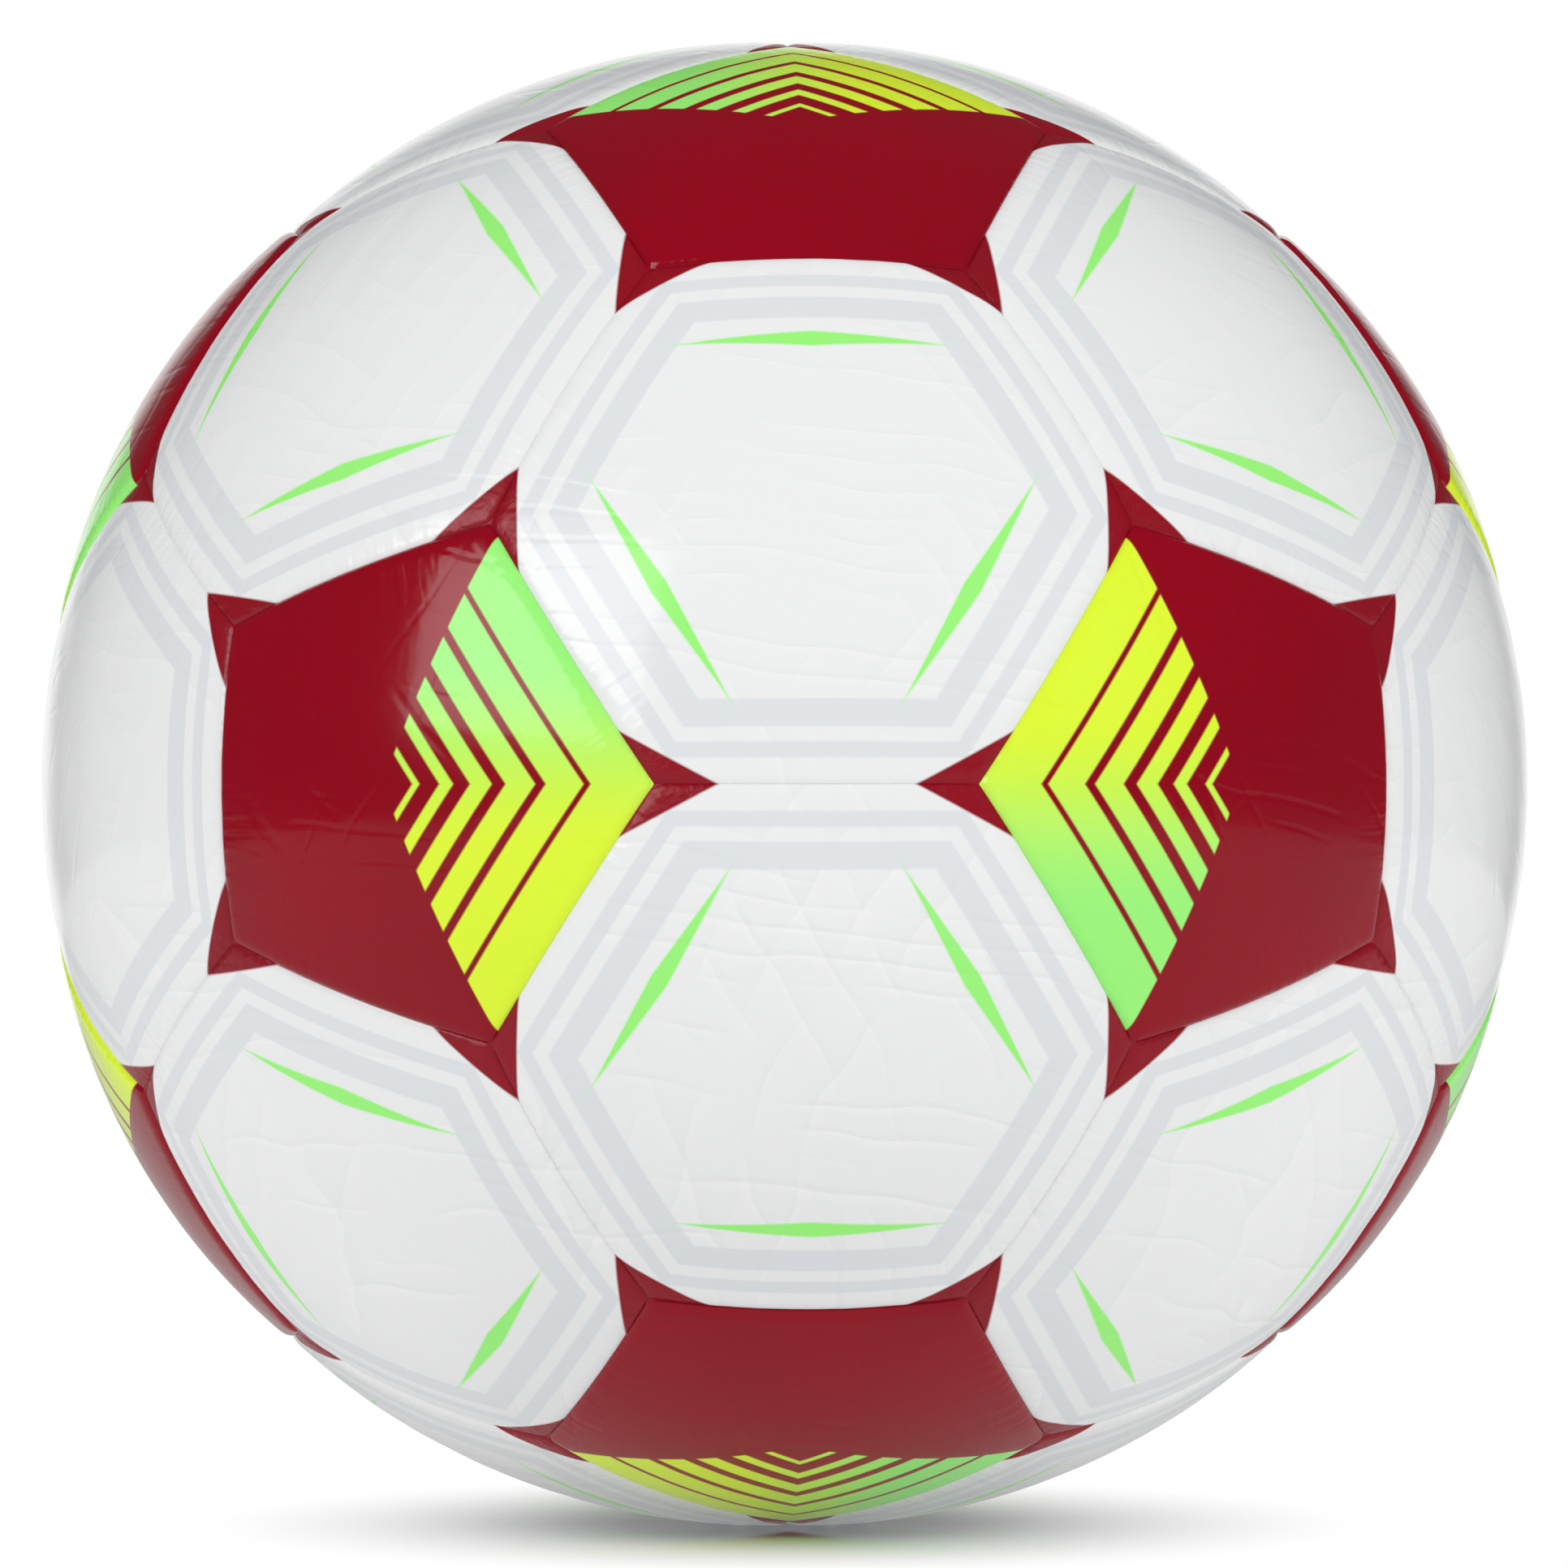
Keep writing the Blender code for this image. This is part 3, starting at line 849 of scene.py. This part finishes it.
# Nodes for several kinds of data have sockets that share a name, so these go by number
def mix_colour(factor, first, second):
    return wire(factor.tree, "ShaderNodeMix", {0: factor, 6: first, 7: second}, 2, data_type="RGBA")


def spread(value, low, high):
    """Stretches a noise round its middle over a range of values."""
    return ramp(value, *NOISE_SPAN, low, high, shape="LINEAR")


def new_finish(name):
    """A material, its tree and its shader."""
    finish = bpy.data.materials.new(name)
    finish.use_nodes = True
    tree = finish.node_tree
    return finish, tree, tree.nodes["Principled BSDF"]


def set_looks(shader, colour, roughness, normal):
    set_inputs(shader, {"Base Color": colour, "Roughness": roughness, "Normal": normal})


def object_place(tree):
    return wire(tree, "ShaderNodeTexCoord", output="Object")


def use_group(tree, group, inputs):
    """A shared group placed in a material, with its own values."""
    return wires(add_node(tree, "ShaderNodeGroup", inputs, node_tree=group).outputs)


def bump_from(height, depth):
    return wire(height.tree, "ShaderNodeBump", {"Height": height, "Distance": depth, "Strength": 1.0})


# %% [markdown]
# Both covers share one gloss. Only its bump depth, the print and the inks differ,
# and the corners of the hexagons are the only ones that are crinkled.

# %% Mix the covers
RED = (0.292, 0.0006, 0.0105, 1.0)
RED_DEEP = (0.258, 0.0005, 0.0090, 1.0)
# The painted-light and painted-shade ends of the folds' painted shade on the white; flat film gets the colour
# halfway between them
WHITE_PAINTED_LIGHT = (0.876, 0.879, 0.883, 1.0)
WHITE_PAINTED_SHADE = (0.818, 0.824, 0.828, 1.0)
FRAME_GREY = (0.725, 0.752, 0.780, 1.0)
FRAME_COVER = 0.85
MINT = (0.330, 0.930, 0.200, 1.0)
YELLOW = (0.740, 0.950, 0.035, 1.0)
CREASE_SIZE = 0.0048
HEXAGON_BUMP = 0.00010
PENTAGON_BUMP = 0.00008
COVER_ROUGHNESS = (0.13, 0.20)
CRINKLE_DULLNESS = 0.16
COVER_COAT = {"Specular IOR Level": 0.30, "Coat Weight": 0.20, "Coat Roughness": 0.05}


def cover_finish(name, print_group, bump_depth, crinkle):
    """The gloss and the red that both covers share, with the masks of its print and of its film."""
    finish, tree, shader = new_finish(name)
    ink = use_group(tree, print_group, {"Plan": wire(tree, "ShaderNodeUVMap", uv_map="print")})
    marks = {"Vector": object_place(tree), "Crease Size": CREASE_SIZE, "Crinkle": crinkle}
    for label in ("Near Seam", "Next Seam", "Along Seam"):
        measure = label.lower().replace(" ", "_")
        marks[label] = wire(tree, "ShaderNodeAttribute", output="Fac", attribute_name=measure)
    skin = use_group(tree, film, marks)
    dull = spread(skin["Variation"], *COVER_ROUGHNESS)
    if "Corner" in ink:
        dull = calc("MULTIPLY_ADD", ink["Corner"], CRINKLE_DULLNESS, dull)
    bump = bump_from(skin["Height"], bump_depth)
    set_inputs(shader, {"Roughness": dull, "Normal": bump, **COVER_COAT})
    red = mix_colour(spread(skin["Variation"], 0.0, 1.0), RED, RED_DEEP)
    return finish, shader, ink, skin, red


def hexagon_finish(name, bars):
    finish, shader, ink, skin, red = cover_finish(name, hexagon_print, HEXAGON_BUMP, crinkle=1.0)
    # Painted shade: the white is painted lighter and darker along the flanks of the folds
    colour = mix_colour(skin["Fold Painted Shade"], WHITE_PAINTED_SHADE, WHITE_PAINTED_LIGHT)
    colour = mix_colour(ink["Frame"] * FRAME_COVER, colour, FRAME_GREY)
    if bars:
        colour = mix_colour(ink["Bar"], colour, MINT)
    plug(mix_colour(ink["Corner"], colour, red), shader.inputs["Base Color"])
    return finish


def pentagon_finish(name):
    finish, shader, ink, _, red = cover_finish(name, pentagon_print, PENTAGON_BUMP, crinkle=0.0)
    bright = mix_colour(ink["Sweep"], YELLOW, MINT)
    plug(mix_colour(ink["Stripe"], red, bright), shader.inputs["Base Color"])
    return finish


COVERS = {
    "pentagon": pentagon_finish("red_cover"),
    "hexagon": hexagon_finish("white_cover", True),
    "plain": hexagon_finish("white_cover_plain", False),
}
print("cover finishes:", [finish.name for finish in COVERS.values()])

# %% [markdown]
# ## Thirty-two panels from three blanks
#
# Every panel runs one of the three blanks through the forming tree with its own
# seed, and is then turned from the blank's axis to its place on the ball. The
# hexagons at the two sides stay without bars. Copies of one finished panel would
# be lighter, but then all of them would wrinkle alike.

# %% Form and place the panels
PLAIN_PANELS = ("hexagon_left_front", "hexagon_right_front", "hexagon_left_back", "hexagon_right_back")
COVER_SLOT = {"pentagon": "cover_red", "hexagon": "cover_white"}
WRINKLE_HEIGHT = {"pentagon": 0.00015, "hexagon": 0.00045}
SEED_STEP = 3.7
PANEL_FORM = {
    "Edge Roll": EDGE_ROLL,
    "Pucker Height": 0.00012,
    "Pucker Pitch": 0.0045,
    "Pucker Reach": 0.0030,
    "Wrinkle Size": 0.013,
    "Wrinkle Stretch": (0.5, 1.2, 1.0),
}
for number, (name, own) in enumerate(FRAMES.items()):
    kind = kind_of(name)
    values = {
        **PANEL_FORM,
        "Crown": CROWN[kind],
        "Edge": EDGE_RADIUS[kind],
        "Edge Fall": EDGE_FALL[kind],
        "Wrinkle Height": WRINKLE_HEIGHT[kind],
        "Seed": SEED_STEP * number,
        "Material": COVERS["plain" if name in PLAIN_PANELS else kind],
    }
    shaped = grow(name + "_blank", BLANKS["valve" if name == VALVE_PANEL else kind], form, values)
    shaped.transform(own.to_4x4())
    place("cover_" + name, shaped, "ball", COVER_SLOT[kind], name)
print("covers:", len(FRAMES), "panels of", len(shaped.polygons), "faces or so")

# %% [markdown]
# ## Stitches
#
# Behind the lips a waxed thread closes each seam with a row of short slanted
# stitches. They are made by instancing: every seam is a curve, points are set
# along it at the stitch pitch, and one small bent stitch is put on each. Joining
# copies by hand would give the same mesh, but the tree keeps pitch, length and
# slant as inputs.

# %% Build the stitching tree
stitching, given, made = new_tree(
    "seam_stitching",
    "GeometryNodeTree",
    {
        "Geometry": ("Geometry",),
        "Float": ("Pitch", "Stitch Length", "Slant", "Rise", "Thread Radius"),
        "Int": ("Seed",),
        "Material": ("Material",),
    },
    {"Geometry": ("Geometry",)},
)
STITCH_STEPS = 4
THREAD_SIDES = 6
LEAST_STITCH = 0.94
LARGEST_STITCH = 1.04

half_length = given["Stitch Length"] * 0.5
down = -given["Rise"]
bend = {
    "Resolution": STITCH_STEPS,
    "Start": combine(X=-half_length, Y=-given["Slant"], Z=down),
    "Middle": combine(Z=given["Rise"]),
    "End": combine(X=half_length, Y=given["Slant"], Z=down),
}
section = {"Resolution": THREAD_SIDES, "Radius": given["Thread Radius"]}
bent_thread = {
    "Curve": wire(stitching, "GeometryNodeCurveQuadraticBezier", bend),
    "Profile Curve": wire(stitching, "GeometryNodeCurvePrimitiveCircle", section),
    "Fill Caps": True,
}
outwards = vector_calc("NORMALIZE", wire(stitching, "GeometryNodeInputPosition"))
tangent = {"Vector": wire(stitching, "GeometryNodeInputTangent")}
along = wire(stitching, "FunctionNodeAlignRotationToVector", tangent, axis="X")
upwards = {"Rotation": along, "Vector": outwards}
seam_curves = wire(stitching, "GeometryNodeMeshToCurve", {"Mesh": given["Geometry"]})
spacing = {"Curve": seam_curves, "Length": given["Pitch"]}
# The random value's sockets share their names, so they go by number
jitter = {2: LEAST_STITCH, 3: LARGEST_STITCH, "Seed": given["Seed"]}
stitches = {
    "Points": wire(stitching, "GeometryNodeResampleCurve", spacing, mode="LENGTH"),
    "Instance": wire(stitching, "GeometryNodeCurveToMesh", bent_thread),
    "Rotation": wire(stitching, "FunctionNodeAlignRotationToVector", upwards, axis="Z", pivot_axis="X"),
    "Scale": wire(stitching, "FunctionNodeRandomValue", jitter, 1, data_type="FLOAT"),
}
sewn = wire(stitching, "GeometryNodeInstanceOnPoints", stitches)
end_tree(sewn, given["Material"], made["Geometry"])
print("stitching tree:", len(stitching.nodes), "nodes")

# %% [markdown]
# Waxed thread is off-white and twisted from fine fibres. At its size a noise far
# finer than the thread stands for the twist, in colour, gloss and bump.

# %% Thread finish
FIBRE_SCALE = 5200.0
FIBRE_BUMP = 0.00008
THREAD_ROUGHNESS = (0.45, 0.70)
THREAD_DARK = (0.600, 0.570, 0.520, 1.0)
THREAD_LIGHT = (0.840, 0.820, 0.780, 1.0)

thread_finish, tree, shader = new_finish("waxed_thread")
fibres = noise(object_place(tree), FIBRE_SCALE, 3.0)
colour = mix_colour(fibres, THREAD_DARK, THREAD_LIGHT)
set_looks(shader, colour, spread(fibres, *THREAD_ROUGHNESS), bump_from(fibres, FIBRE_BUMP))
print("thread finish:", len(tree.nodes), "nodes")

# %% [markdown]
# Each seam belongs to two panels, so walking round all panels finds it twice.
# The direction of its middle tells the two apart from any other seam and keeps
# one of them. What is left is ninety lines for the tree to sew along.

# %% Sew the seams
SEAM_POINTS = 13
CORNER_CLEARANCE = 0.08
STITCH_FORM = {
    "Pitch": 0.0033,
    "Stitch Length": 0.0038,
    "Slant": 0.00022,
    "Rise": 0.00018,
    "Thread Radius": 0.00030,
    "Seed": 11,
}
thread_points = np.linalg.norm(node_points("seam_thread"), axis=1)
THREAD_LINE = (thread_points.max() + thread_points.min()) / 2

seams = {}
for name, own in FRAMES.items():
    sides = SIDES[kind_of(name)]
    reach = CORNER_TAN[kind_of(name)]
    turns = [math.tau * i / sides for i in range(sides + 1)]
    corners = [Vector((math.cos(turn) * reach, math.sin(turn) * reach, 1.0)) for turn in turns]
    ring = [own @ corner.normalized() for corner in corners]
    for first, second in zip(ring, ring[1:]):
        middle = (first + second).normalized()
        seams.setdefault(tuple(round(part, 3) + 0.0 for part in middle), (first, second))

points = []
edges = []
for first, second in seams.values():
    for i in range(SEAM_POINTS):
        share_along = CORNER_CLEARANCE + (1 - 2 * CORNER_CLEARANCE) * i / (SEAM_POINTS - 1)
        points.append(first.lerp(second, share_along).normalized() * THREAD_LINE)
        if i:
            edges.append((len(points) - 2, len(points) - 1))
seam_lines = bpy.data.meshes.new("seam_lines")
seam_lines.from_pydata(points, edges, [])
sewn = grow("seam_lines", seam_lines, stitching, {**STITCH_FORM, "Material": thread_finish})
place("seam_stitches", sewn, "ball", "seam_thread", "seam_thread")
print("seams:", len(seams), "with", len(sewn.polygons), "faces of thread")

# %% [markdown]
# ## Valve
#
# The valve is two mouldings: a collar that sits in the panel and a plug with a
# funnel for the needle. Both are turned shapes, so each is a profile spun round
# the valve's axis. Its corners get a small radius, as any moulded rubber edge
# has. A bevel of the CAD mesh would do that too, but not as evenly all round.

# %% Turn a profile
CORNER_STEPS = 4
TURNING_STEPS = 64
# A rounded corner takes no more than this share of the edges beside it
EDGE_SHARE = 0.45


def soften(profile, radius):
    """Rounds every corner of a closed profile, by less where an edge is short."""
    rounded = []
    for i, here in enumerate(profile):
        here = Vector(here)
        before = Vector(profile[i - 1]) - here
        after = Vector(profile[(i + 1) % len(profile)]) - here
        cut = min(radius, before.length * EDGE_SHARE, after.length * EDGE_SHARE)
        first = here + before.normalized() * cut
        last = here + after.normalized() * cut
        for k in range(CORNER_STEPS + 1):
            t = k / CORNER_STEPS
            rounded.append(first * (1 - t) ** 2 + here * (2 * t * (1 - t)) + last * t**2)
    return rounded


def turned_mesh(name, profile, finish):
    """A closed profile spun round the valve's axis into a plain mesh."""
    bm = bmesh.new()
    rings = []
    for k in range(TURNING_STEPS):
        spun = Matrix.Rotation(math.tau * k / TURNING_STEPS, 3, "Z")
        rings.append([bm.verts.new(FRAMES[VALVE_PANEL] @ (spun @ Vector((r, 0.0, h)))) for r, h in profile])
    for here, there in zip(rings, rings[1:] + rings[:1]):
        for i in range(len(profile)):
            j = (i + 1) % len(profile)
            bm.faces.new((here[i], here[j], there[j], there[i]))
    bmesh.ops.recalc_face_normals(bm, faces=bm.faces)
    mesh = bpy.data.meshes.new(name)
    bm.to_mesh(mesh)
    bm.free()
    mesh.materials.append(finish)
    mesh.shade_smooth()
    return mesh


# %% [markdown]
# The collar, the plug and the bladder are rubbers of nearly one kind: dark, dull,
# with a fine grain from the mould and a pale bloom that comes and goes. So one
# function makes all three, with its own colours, dullness and grain for each.

# %% Rubber finishes
BLOOM_SCALE = 140.0
GRAIN_BUMP = 0.00003
ROUGHNESS_SPREAD = 0.08
# Dark and pale colour, roughness, and grains to the metre
RUBBERS = {
    "collar_rubber": ((0.040, 0.040, 0.044, 1.0), (0.060, 0.060, 0.064, 1.0), 0.55, 2600.0),
    "plug_rubber": ((0.024, 0.024, 0.027, 1.0), (0.040, 0.040, 0.044, 1.0), 0.48, 3000.0),
    "bladder_latex": ((0.016, 0.016, 0.018, 1.0), (0.028, 0.028, 0.031, 1.0), 0.60, 900.0),
}


def rubber_finish(name, dark, pale, roughness, grain):
    finish, tree, shader = new_finish(name)
    speckle = noise(object_place(tree), grain, 4.0)
    bloom = noise(object_place(tree), BLOOM_SCALE, 2.0)
    dull = spread(speckle, roughness - ROUGHNESS_SPREAD, roughness + ROUGHNESS_SPREAD)
    set_looks(shader, mix_colour(bloom, dark, pale), dull, bump_from(speckle, GRAIN_BUMP))
    return finish


collar_finish, plug_finish, bladder_finish = [rubber_finish(name, *RUBBERS[name]) for name in RUBBERS]
print("rubber finishes:", list(RUBBERS))

# %% [markdown]
# The corners of each profile are looked up in the CAD node by height or by
# radius, so the turned piece follows the frame if a valve size changes there.
# Only the small edge radius is new.

# %% Collar
RUBBER_EDGE = 0.00035


def ends_at(measure, level, other):
    """The least and the greatest of the other measure, among the points at one level of this one."""
    found = np.round(other[np.abs(measure - level) < SAME_PLACE], 6)
    return found.min(), found.max()


around, height = valve_profile("valve_housing")
face = height.max()
foot = height.min()
flange_radius = around.max()
passage = around.min()
seat_radius, collar_radius = ends_at(height, face, around)
flange_under, flange_edge = ends_at(around, flange_radius, height)
collar_under = ends_at(around, collar_radius, height)[0]
stem_radius = ends_at(height, foot, around)[1]
foot_top = ends_at(around, passage, height)[1]
seat = ends_at(around, seat_radius, height)[0]
bore = ends_at(height, seat, around)[0]
collar_profile = [
    (seat_radius, face),
    (collar_radius, face),
    (collar_radius, collar_under),
    (flange_radius, flange_edge),
    (flange_radius, flange_under),
    (stem_radius, flange_under),
    (stem_radius, foot),
    (passage, foot),
    (passage, foot_top),
    (bore, foot_top),
    (bore, seat),
    (seat_radius, seat),
]
collar_mesh = turned_mesh("valve_collar", soften(collar_profile, RUBBER_EDGE), collar_finish)
place("valve_collar", collar_mesh, "ball", "valve_rubber", "valve_housing")
print("valve collar, mm:", round(2000 * collar_radius, 2))

# %% [markdown]
# The plug is pressed into the collar and can be pulled out, so it rides on a
# body of its own. A funnel in its head leads the needle to the passage.

# %% Plug
around, height = valve_profile("valve_insert")
head = height.max()
end = height.min()
funnel_radius, head_radius = ends_at(height, head, around)
needle, plug_radius = ends_at(height, end, around)
head_under = ends_at(around, head_radius, height)[0]
funnel_end = ends_at(around, needle, height)[1]
plug_profile = [
    (funnel_radius, head),
    (head_radius, head),
    (head_radius, head_under),
    (plug_radius, head_under),
    (plug_radius, end),
    (needle, end),
    (needle, funnel_end),
]
plug_mesh = turned_mesh("valve_plug", soften(plug_profile, RUBBER_EDGE), plug_finish)
place("valve_plug", plug_mesh, "insert", "insert_rubber", "valve_insert")
print("valve plug, mm:", round(2000 * plug_radius, 2))

# %% [markdown]
# ## Bladder and patch
#
# Both lie inside the cover and keep their CAD shapes. The bladder gets a dull
# latex with a faint bloom, and the patch a plain weave: two waves at right
# angles, which is all that a woven cloth is at this distance.

# %% Finish the inner pieces
WEAVE_SCALE = 700.0
WEAVE_BUMP = 0.0001
WEAVE_ROUGHNESS = 0.9
CLOTH_DARK = (0.430, 0.400, 0.340, 1.0)
CLOTH_LIGHT = (0.640, 0.610, 0.540, 1.0)

patch_finish, tree, shader = new_finish("patch_weave")
yarn = {"Vector": object_place(tree), "Scale": WEAVE_SCALE}
warp, weft = [wire(tree, "ShaderNodeTexWave", yarn, "Fac", bands_direction=way) for way in "XZ"]
weave = warp * weft
set_looks(shader, mix_colour(weave, CLOTH_DARK, CLOTH_LIGHT), WEAVE_ROUGHNESS, bump_from(weave, WEAVE_BUMP))
INNER_FINISHES = {"bladder": bladder_finish, "valve_patch": patch_finish}
for node, finish in INNER_FINISHES.items():
    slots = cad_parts[node].data.materials
    slots.clear()
    slots.append(finish)
print("inner pieces:", {node: finish.name for node, finish in INNER_FINISHES.items()})

# %% [markdown]
# ## Stage
#
# The ball stands on a white sweep. A real one is a sheet that curves up behind
# the object. Here a disc does the job: its middle is matt and holds the shadow,
# and further out it turns into the same even white as the background, so no
# horizon shows. That white also lights the ball from below, a little less from
# the front, where a photographer stands.

# %% Floor
FLOOR_LEVEL = CAD_BOX[0].z
FLOOR_SIZE = 1.2
FLOOR_SIDES = 96
FLOOR_GREY = (0.66, 0.66, 0.66, 1.0)
PURE_WHITE = (1.0, 1.0, 1.0, 1.0)
SHADOW_STRETCH = (1.0, 1.1, 0.0)
SHADOW_SPAN = (0.02, 0.088)
SWEEP_LEVEL = 1.0
FRONT_SHARE = 0.80
FRONT_SPAN = (-0.95, -0.50)
LEAST_DISTANCE = 0.001
MIRRORED_LEVEL = 0.50
BOUNCE_SHARE = 0.30


def ray_kinds(tree):
    """Which rays come from the camera, and which from a mirroring surface."""
    ray = wires(add_node(tree, "ShaderNodeLightPath").outputs)
    return ray["Is Camera Ray"], calc("MAXIMUM", ray["Is Glossy Ray"], ray["Is Transmission Ray"])


turns = [math.tau * i / FLOOR_SIDES for i in range(FLOOR_SIDES)]
rim = [(FLOOR_SIZE * math.cos(turn), FLOOR_SIZE * math.sin(turn), FLOOR_LEVEL) for turn in turns]
floor_mesh = bpy.data.meshes.new("floor")
floor_mesh.from_pydata(rim, [], [tuple(range(FLOOR_SIDES))])
floor = add_object("floor", floor_mesh)

floor_finish, tree, _ = new_finish("pale_floor")
tree.nodes.clear()
seen, mirrored = ray_kinds(tree)
where = object_place(tree)
distance = vector_calc("LENGTH", vector_calc("MULTIPLY", where, SHADOW_STRETCH))
frontwards = separate(where)[1] / calc("MAXIMUM", distance, LEAST_DISTANCE)
level = calc("MULTIPLY_ADD", mirrored, MIRRORED_LEVEL - SWEEP_LEVEL, SWEEP_LEVEL)
level = calc("MAXIMUM", seen, level * ramp(frontwards, *FRONT_SPAN, start=FRONT_SHARE))
white = wire(tree, "ShaderNodeEmission", {"Color": PURE_WHITE, "Strength": level})
matte = wire(tree, "ShaderNodeBsdfDiffuse", {"Color": FLOOR_GREY})
whitened = calc("MAXIMUM", ramp(distance, *SHADOW_SPAN), (1.0 - seen) * BOUNCE_SHARE)
sheet = wire(tree, "ShaderNodeMixShader", {0: whitened, 1: matte, 2: white})
add_node(tree, "ShaderNodeOutputMaterial", {"Surface": sheet})
floor_mesh.materials.append(floor_finish)
print("floor at, mm:", round(1000 * FLOOR_LEVEL, 2))

# %% [markdown]
# The room is an even light from all sides, as in a tent of white cloth. A glossy
# cover would mirror such a tent as a grey veil over its dark colours. So the
# room is dim in reflections, apart from the white background itself, which is
# as bright there as the camera sees it. An image of a studio could light the
# ball as well, but two levels and one direction are enough.

# %% Room
ROOM_LEVEL = 0.70
GLOSS_LEVEL = 0.05
BACKDROP_SPAN = (0.88, 0.98)

world = bpy.data.worlds.new("studio")
bpy.context.scene.world = world
world.use_nodes = True
tree = world.node_tree
seen, mirrored = ray_kinds(tree)
towards = separate(wire(tree, "ShaderNodeTexCoord", output="Generated"))
in_gloss = calc("MULTIPLY_ADD", ramp(towards[1], *BACKDROP_SPAN), 1.0 - GLOSS_LEVEL, GLOSS_LEVEL)
level = calc("MULTIPLY_ADD", mirrored, in_gloss - ROOM_LEVEL, ROOM_LEVEL)
background = {"Color": PURE_WHITE, "Strength": calc("MAXIMUM", seen, level)}
set_inputs(tree.nodes["Background"], background)
print("room level:", ROOM_LEVEL, "and in gloss:", GLOSS_LEVEL)

# %% [markdown]
# Soft boxes shape the ball: one from the left, a fill from the right and a weaker
# one behind, for those who walk round it. A broad card on the left shows in the
# gloss only. That keeps the highlight's size apart from the light on the ball.


# %% Lights
def aim(thing, location):
    """Puts a lamp or a camera at its place and turns it to the ball's centre."""
    thing.location = location
    thing.rotation_mode = "QUATERNION"
    thing.rotation_quaternion = location.to_track_quat("Z", "Y")


def softbox(name, azimuth, elevation, distance, size, power, in_gloss=False):
    """A soft light aimed at the ball. Azimuth turns from the front towards +X."""
    turn = math.radians(azimuth)
    rise = math.radians(elevation)
    towards = Vector((math.sin(turn) * math.cos(rise), -math.cos(turn) * math.cos(rise), math.sin(rise)))
    lamp = bpy.data.lights.new(name, "AREA")
    lamp.shape = "RECTANGLE"
    lamp.size, lamp.size_y = size
    lamp.energy = power
    box = add_object(name, lamp)
    aim(box, towards * distance)
    box.visible_camera = False
    box.visible_glossy = in_gloss
    box.visible_diffuse = not in_gloss
    print(name, "at, m:", [round(part, 2) for part in box.location])


softbox("left_box", azimuth=-42.0, elevation=25.0, distance=1.3, size=(0.44, 0.70), power=3.4)
softbox("left_card", azimuth=-42.0, elevation=21.0, distance=1.3, size=(0.80, 0.60), power=5.0, in_gloss=True)
softbox("right_fill", azimuth=42.0, elevation=20.0, distance=1.4, size=(0.60, 0.60), power=4.0)
softbox("back_fill", azimuth=180.0, elevation=12.0, distance=1.4, size=(0.80, 0.40), power=2.0)

# %% [markdown]
# The ball is seen from its own height by a long lens, a little from the left of
# the seam in the middle. The lens follows from the distance and from the share
# of the picture that the ball's outline fills.

# %% Camera
VIEW_TURN = math.radians(2.37)
VIEW_DISTANCE = 10.9 * BALL_RADIUS
OUTLINE_PIXELS = 921.0
PICTURE_PIXELS = 1932.0
SENSOR = 36.0

outline_slope = math.tan(math.asin(BALL_RADIUS / VIEW_DISTANCE))
camera_data = bpy.data.cameras.new("camera")
camera_data.sensor_width = SENSOR
camera_data.lens = SENSOR * OUTLINE_PIXELS / PICTURE_PIXELS / outline_slope
camera = add_object("camera", camera_data)
aim(camera, Vector((-math.sin(VIEW_TURN) * VIEW_DISTANCE, -math.cos(VIEW_TURN) * VIEW_DISTANCE, 0.0)))
bpy.context.scene.camera = camera
bpy.context.scene.view_settings.view_transform = "Standard"
print("lens, mm:", round(camera_data.lens, 1))
